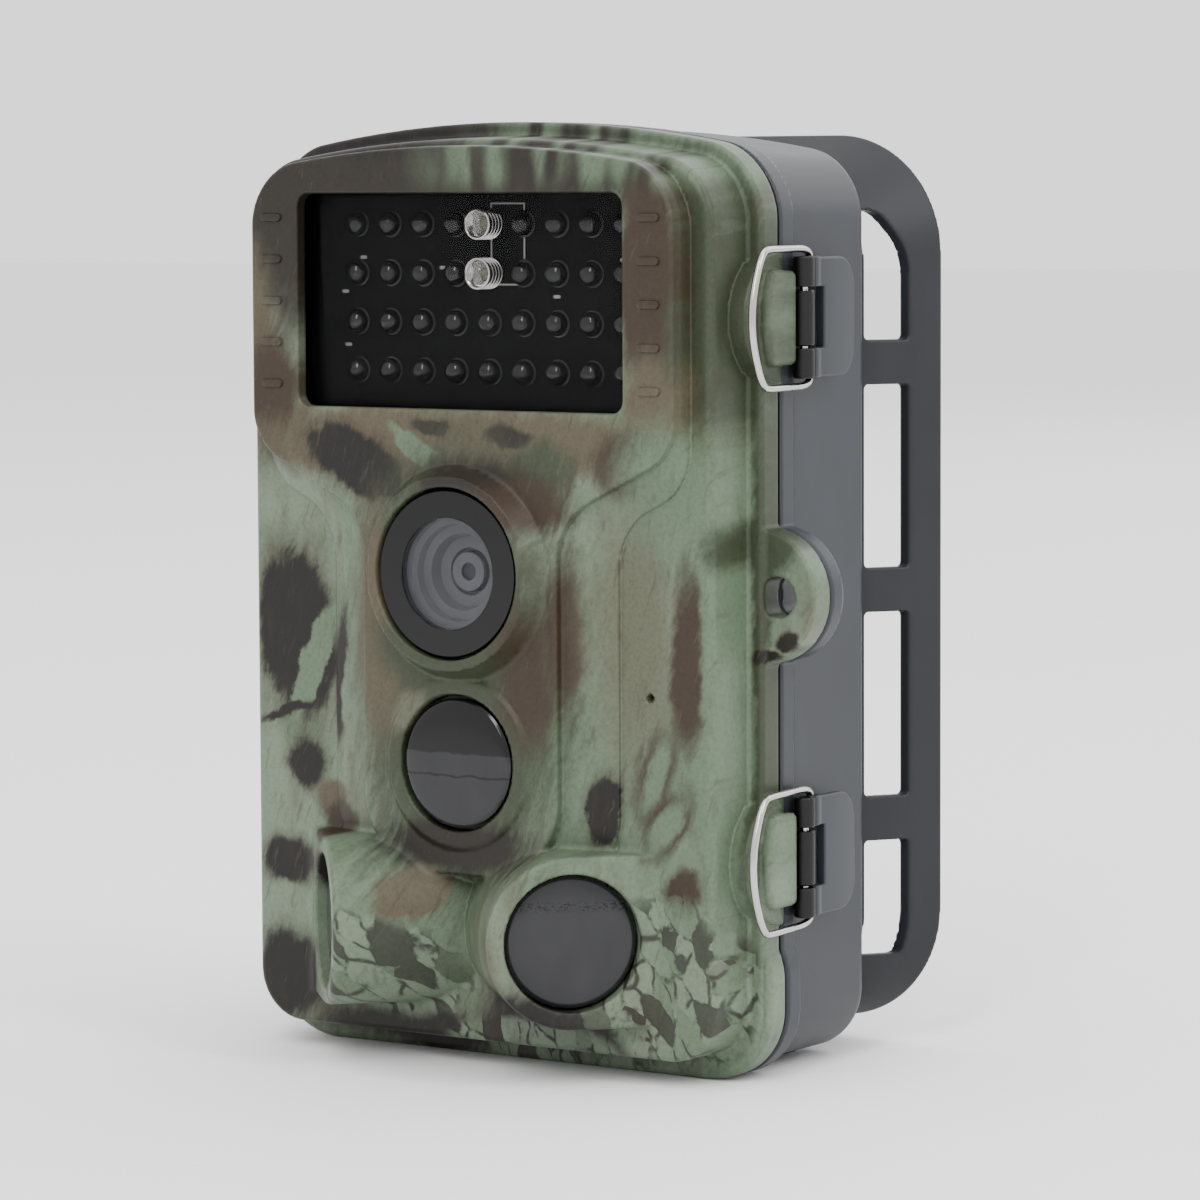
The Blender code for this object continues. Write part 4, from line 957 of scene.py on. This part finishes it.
def circuit(name, base, track, copper):
    """Board lacquer with tracks and soldered pads."""
    n = Nodes(name)
    cell = n.add("ShaderNodeTexVoronoi", {"Vector": n.scaled(n.place, (2.4, 2.4, 2.4)), "Scale": 1.0},
                 feature="DISTANCE_TO_EDGE").outputs[0]
    pads = n.scaled(n.place, (1.8, 1.8, 1.8))
    dots = n.add("ShaderNodeTexVoronoi", {"Vector": pads, "Scale": 1.0}).outputs["Distance"]
    colour = n.mix(n.fade(cell, 0.1, 0.05), base, track)
    colour = n.mix(n.fade(dots, 0.16, 0.12), colour, copper)
    n.bump(n.fade(cell, 0.1, 0.05), 0.4, 0.03)
    return n.done(colour, 0.35)


def battery_sleeve():
    """Cell jacket: dark body with a copper band at its upper end."""
    n = Nodes("cell_sleeve")
    height = n.add("ShaderNodeSeparateXYZ", {0: n.place}).outputs[2]
    colour = n.mix(n.fade(height, 0.055, 0.0552), tone(46, 48, 54), tone(168, 110, 70))
    upper = n.mix(n.fade(height, 0.111, 0.1112), tone(46, 48, 54), tone(168, 110, 70))
    colour = n.mix(n.fade(height, 0.069, 0.0692), colour, upper)
    fine = n.noise(n.place, 0.4, 3, 0.6)[0]
    colour = n.mix(n.math("MULTIPLY", fine, 0.1), colour, (0.3, 0.3, 0.3))
    n.bump(fine, 0.15, 0.01)
    return n.done(colour, 0.28, Metallic=0.3)


def screen_look():
    """Dark display glass with a faint pixel grid."""
    n = Nodes("display_glass")
    x = n.add("ShaderNodeSeparateXYZ", {0: n.place})
    across = n.math("PINGPONG", n.math("MULTIPLY", x.outputs[0], 1 / (0.25 * MM)), 1.0)
    down = n.math("PINGPONG", n.math("MULTIPLY", x.outputs[2], 1 / (0.25 * MM)), 1.0)
    grid = n.fade(n.math("MINIMUM", across, down), 0.2, 0.05)
    colour = n.mix(grid, tone(30, 34, 42), tone(44, 50, 60))
    return n.done(colour, 0.08, IOR=1.5)


def fresnel_look(name, centered):
    """Dark sensor lens whose inner facets show as soft bands."""
    n = Nodes(name)
    warped = n.warp(n.place, 0.5, 2.0, 3)
    height = n.add("ShaderNodeSeparateXYZ", {0: warped}).outputs[2]
    base = n.mix(n.noise(n.place, (5.0, 5.0, 9.0), 2, 0.5)[0], tone(58, 58, 60), tone(72, 72, 74))
    if centered:
        base = n.mix(n.fade(height, 0.0478, 0.0481), base, tone(26, 26, 28))
        line = n.math("ABSOLUTE", n.math("SUBTRACT", height, 0.0446))
        base = n.mix(n.fade(line, 0.00022, 0.0001), base, tone(40, 40, 42))
    else:
        ripple = n.math("ABSOLUTE", n.math("SUBTRACT", height, 0.0268))
        spread = n.noise(n.place, (0.5, 0.5, 0.35), 2, 0.6)[0]
        some = n.math("MULTIPLY", n.fade(ripple, 0.0012, 0.0002), n.fade(spread, 0.5, 0.6))
        base = n.mix(some, base, tone(40, 40, 42))
    n.bump(n.noise(n.place, 2.0, 2, 0.5)[0], 0.05, 0.02)
    n.put(n.shader.inputs["Specular IOR Level"], 0.3)
    return n.done(base, 0.14)


chrome = metal("reflector_chrome", (0.6, 0.59, 0.56), 0.09, 0.5)
chip_yellow = plastic("lamp_chip", tone(190, 180, 120), 0.5)
black_board = plastic("holder_black", tone(4, 4, 5), 0.7, 0.4, 0.03)
black_board.node_tree.nodes["Principled BSDF"].inputs["Specular IOR Level"].default_value = 0.06
silk = plastic("silk_print", tone(205, 205, 200), 0.6)
clear = glossy("clear_epoxy", (0.3, 0.3, 0.29), 0.03, Alpha=0.2)
pane_glass = glossy("window_glass", (0.004, 0.004, 0.005), 0.03, Alpha=0.14)
thin_glass = glossy("cover_glass", (0.05, 0.05, 0.06), 0.02, Alpha=0.16)
barrel_grey = plastic("barrel_grey", tone(135, 135, 139), 0.35, 0.2, 0.01)
element_glass = glossy("element_glass", tone(70, 72, 80), 0.03)
inner_black = plastic("inner_black", tone(52, 53, 56), 0.5, 0.5, 0.05)
rubber = plastic("soft_rubber", tone(44, 45, 47), 0.7, 0.3, 0.02)
gasket = plastic("seal_rubber", tone(36, 36, 38), 0.75, 0.4, 0.03)
card_blue = plastic("card_shell", tone(40, 48, 66), 0.45)
brass = metal("brass", (0.62, 0.45, 0.2), 0.25, (0.3, 0.3, 0.8))
green_board = circuit("circuit_green", tone(34, 74, 48), tone(58, 104, 66), tone(190, 170, 110))
lamp_board = circuit("circuit_black", tone(12, 12, 13), tone(22, 22, 24), tone(120, 110, 80))
sleeve = battery_sleeve()
screen = screen_look()
fresnel = fresnel_look("sensor_lens", False)
fresnel_center = fresnel_look("sensor_lens_center", True)

lamps()
silk_lines()
optics()
bails()
tally_marks()
key_symbols()
contact_springs()
board_parts()
finish_cad_nodes()


def camera_and_light():
    azimuth, elevation = math.radians(CAMERA_AZIMUTH), math.radians(CAMERA_ELEVATION)
    back = Vector((math.sin(azimuth) * math.cos(elevation), -math.cos(azimuth) * math.cos(elevation),
                   math.sin(elevation)))
    data = bpy.data.cameras.new("camera")
    data.lens, data.sensor_width = 152.2, 36.0
    camera = bpy.data.objects.new("camera", data)
    aim = back.to_track_quat("Z", "Y").to_matrix() @ Matrix.Rotation(math.radians(CAMERA_ROLL), 3, "Z")
    eye = (Vector(CAMERA_TARGET) + back * CAMERA_DISTANCE) * MM
    camera.matrix_world = Matrix.Translation(eye) @ aim.to_4x4()
    bpy.context.scene.collection.objects.link(camera)
    bpy.context.scene.camera = camera

    def light(name, spot, size, power):
        lamp_data = bpy.data.lights.new(name, "AREA")
        lamp_data.shape = "RECTANGLE"
        lamp_data.size, lamp_data.size_y = size
        lamp_data.energy = power
        obj = bpy.data.objects.new(name, lamp_data)
        obj.location = spot
        obj.rotation_euler = (Vector((0, 0, 0.07)) - Vector(spot)).to_track_quat("-Z", "Y").to_euler()
        bpy.context.scene.collection.objects.link(obj)

    light("key_front", (0.37, -0.97, 0.94), (0.2, 0.8), 8)
    light("key_right", (1.03, -0.10, 0.94), (0.2, 0.8), 7)
    light("overhead", (0.1, 0.15, 1.25), (1.3, 1.3), 6)
    light("behind", (0.2, 1.6, 0.9), (2.0, 1.2), 10)
    world = bpy.data.worlds.new("studio")
    world.use_nodes = True
    world.node_tree.nodes["Background"].inputs[0].default_value = (1, 1, 1, 1)
    world.node_tree.nodes["Background"].inputs[1].default_value = 1.6
    bpy.context.scene.world = world

    floor_mesh = mesh_from("floor", [(-6000, -6000, -0.05), (6000, -6000, -0.05),
                                     (6000, 6000, -0.05), (-6000, 6000, -0.05)], [(0, 1, 2, 3)])
    floor = link("floor", floor_mesh)
    n = Nodes("studio_floor")
    soft = n.noise(n.place, 400.0, 2, 0.5)[0]
    paint(floor, n.done(n.mix(soft, (0.9, 0.9, 0.9), (0.93, 0.93, 0.93)), 0.6))
    floor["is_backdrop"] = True


camera_and_light()
low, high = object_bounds()
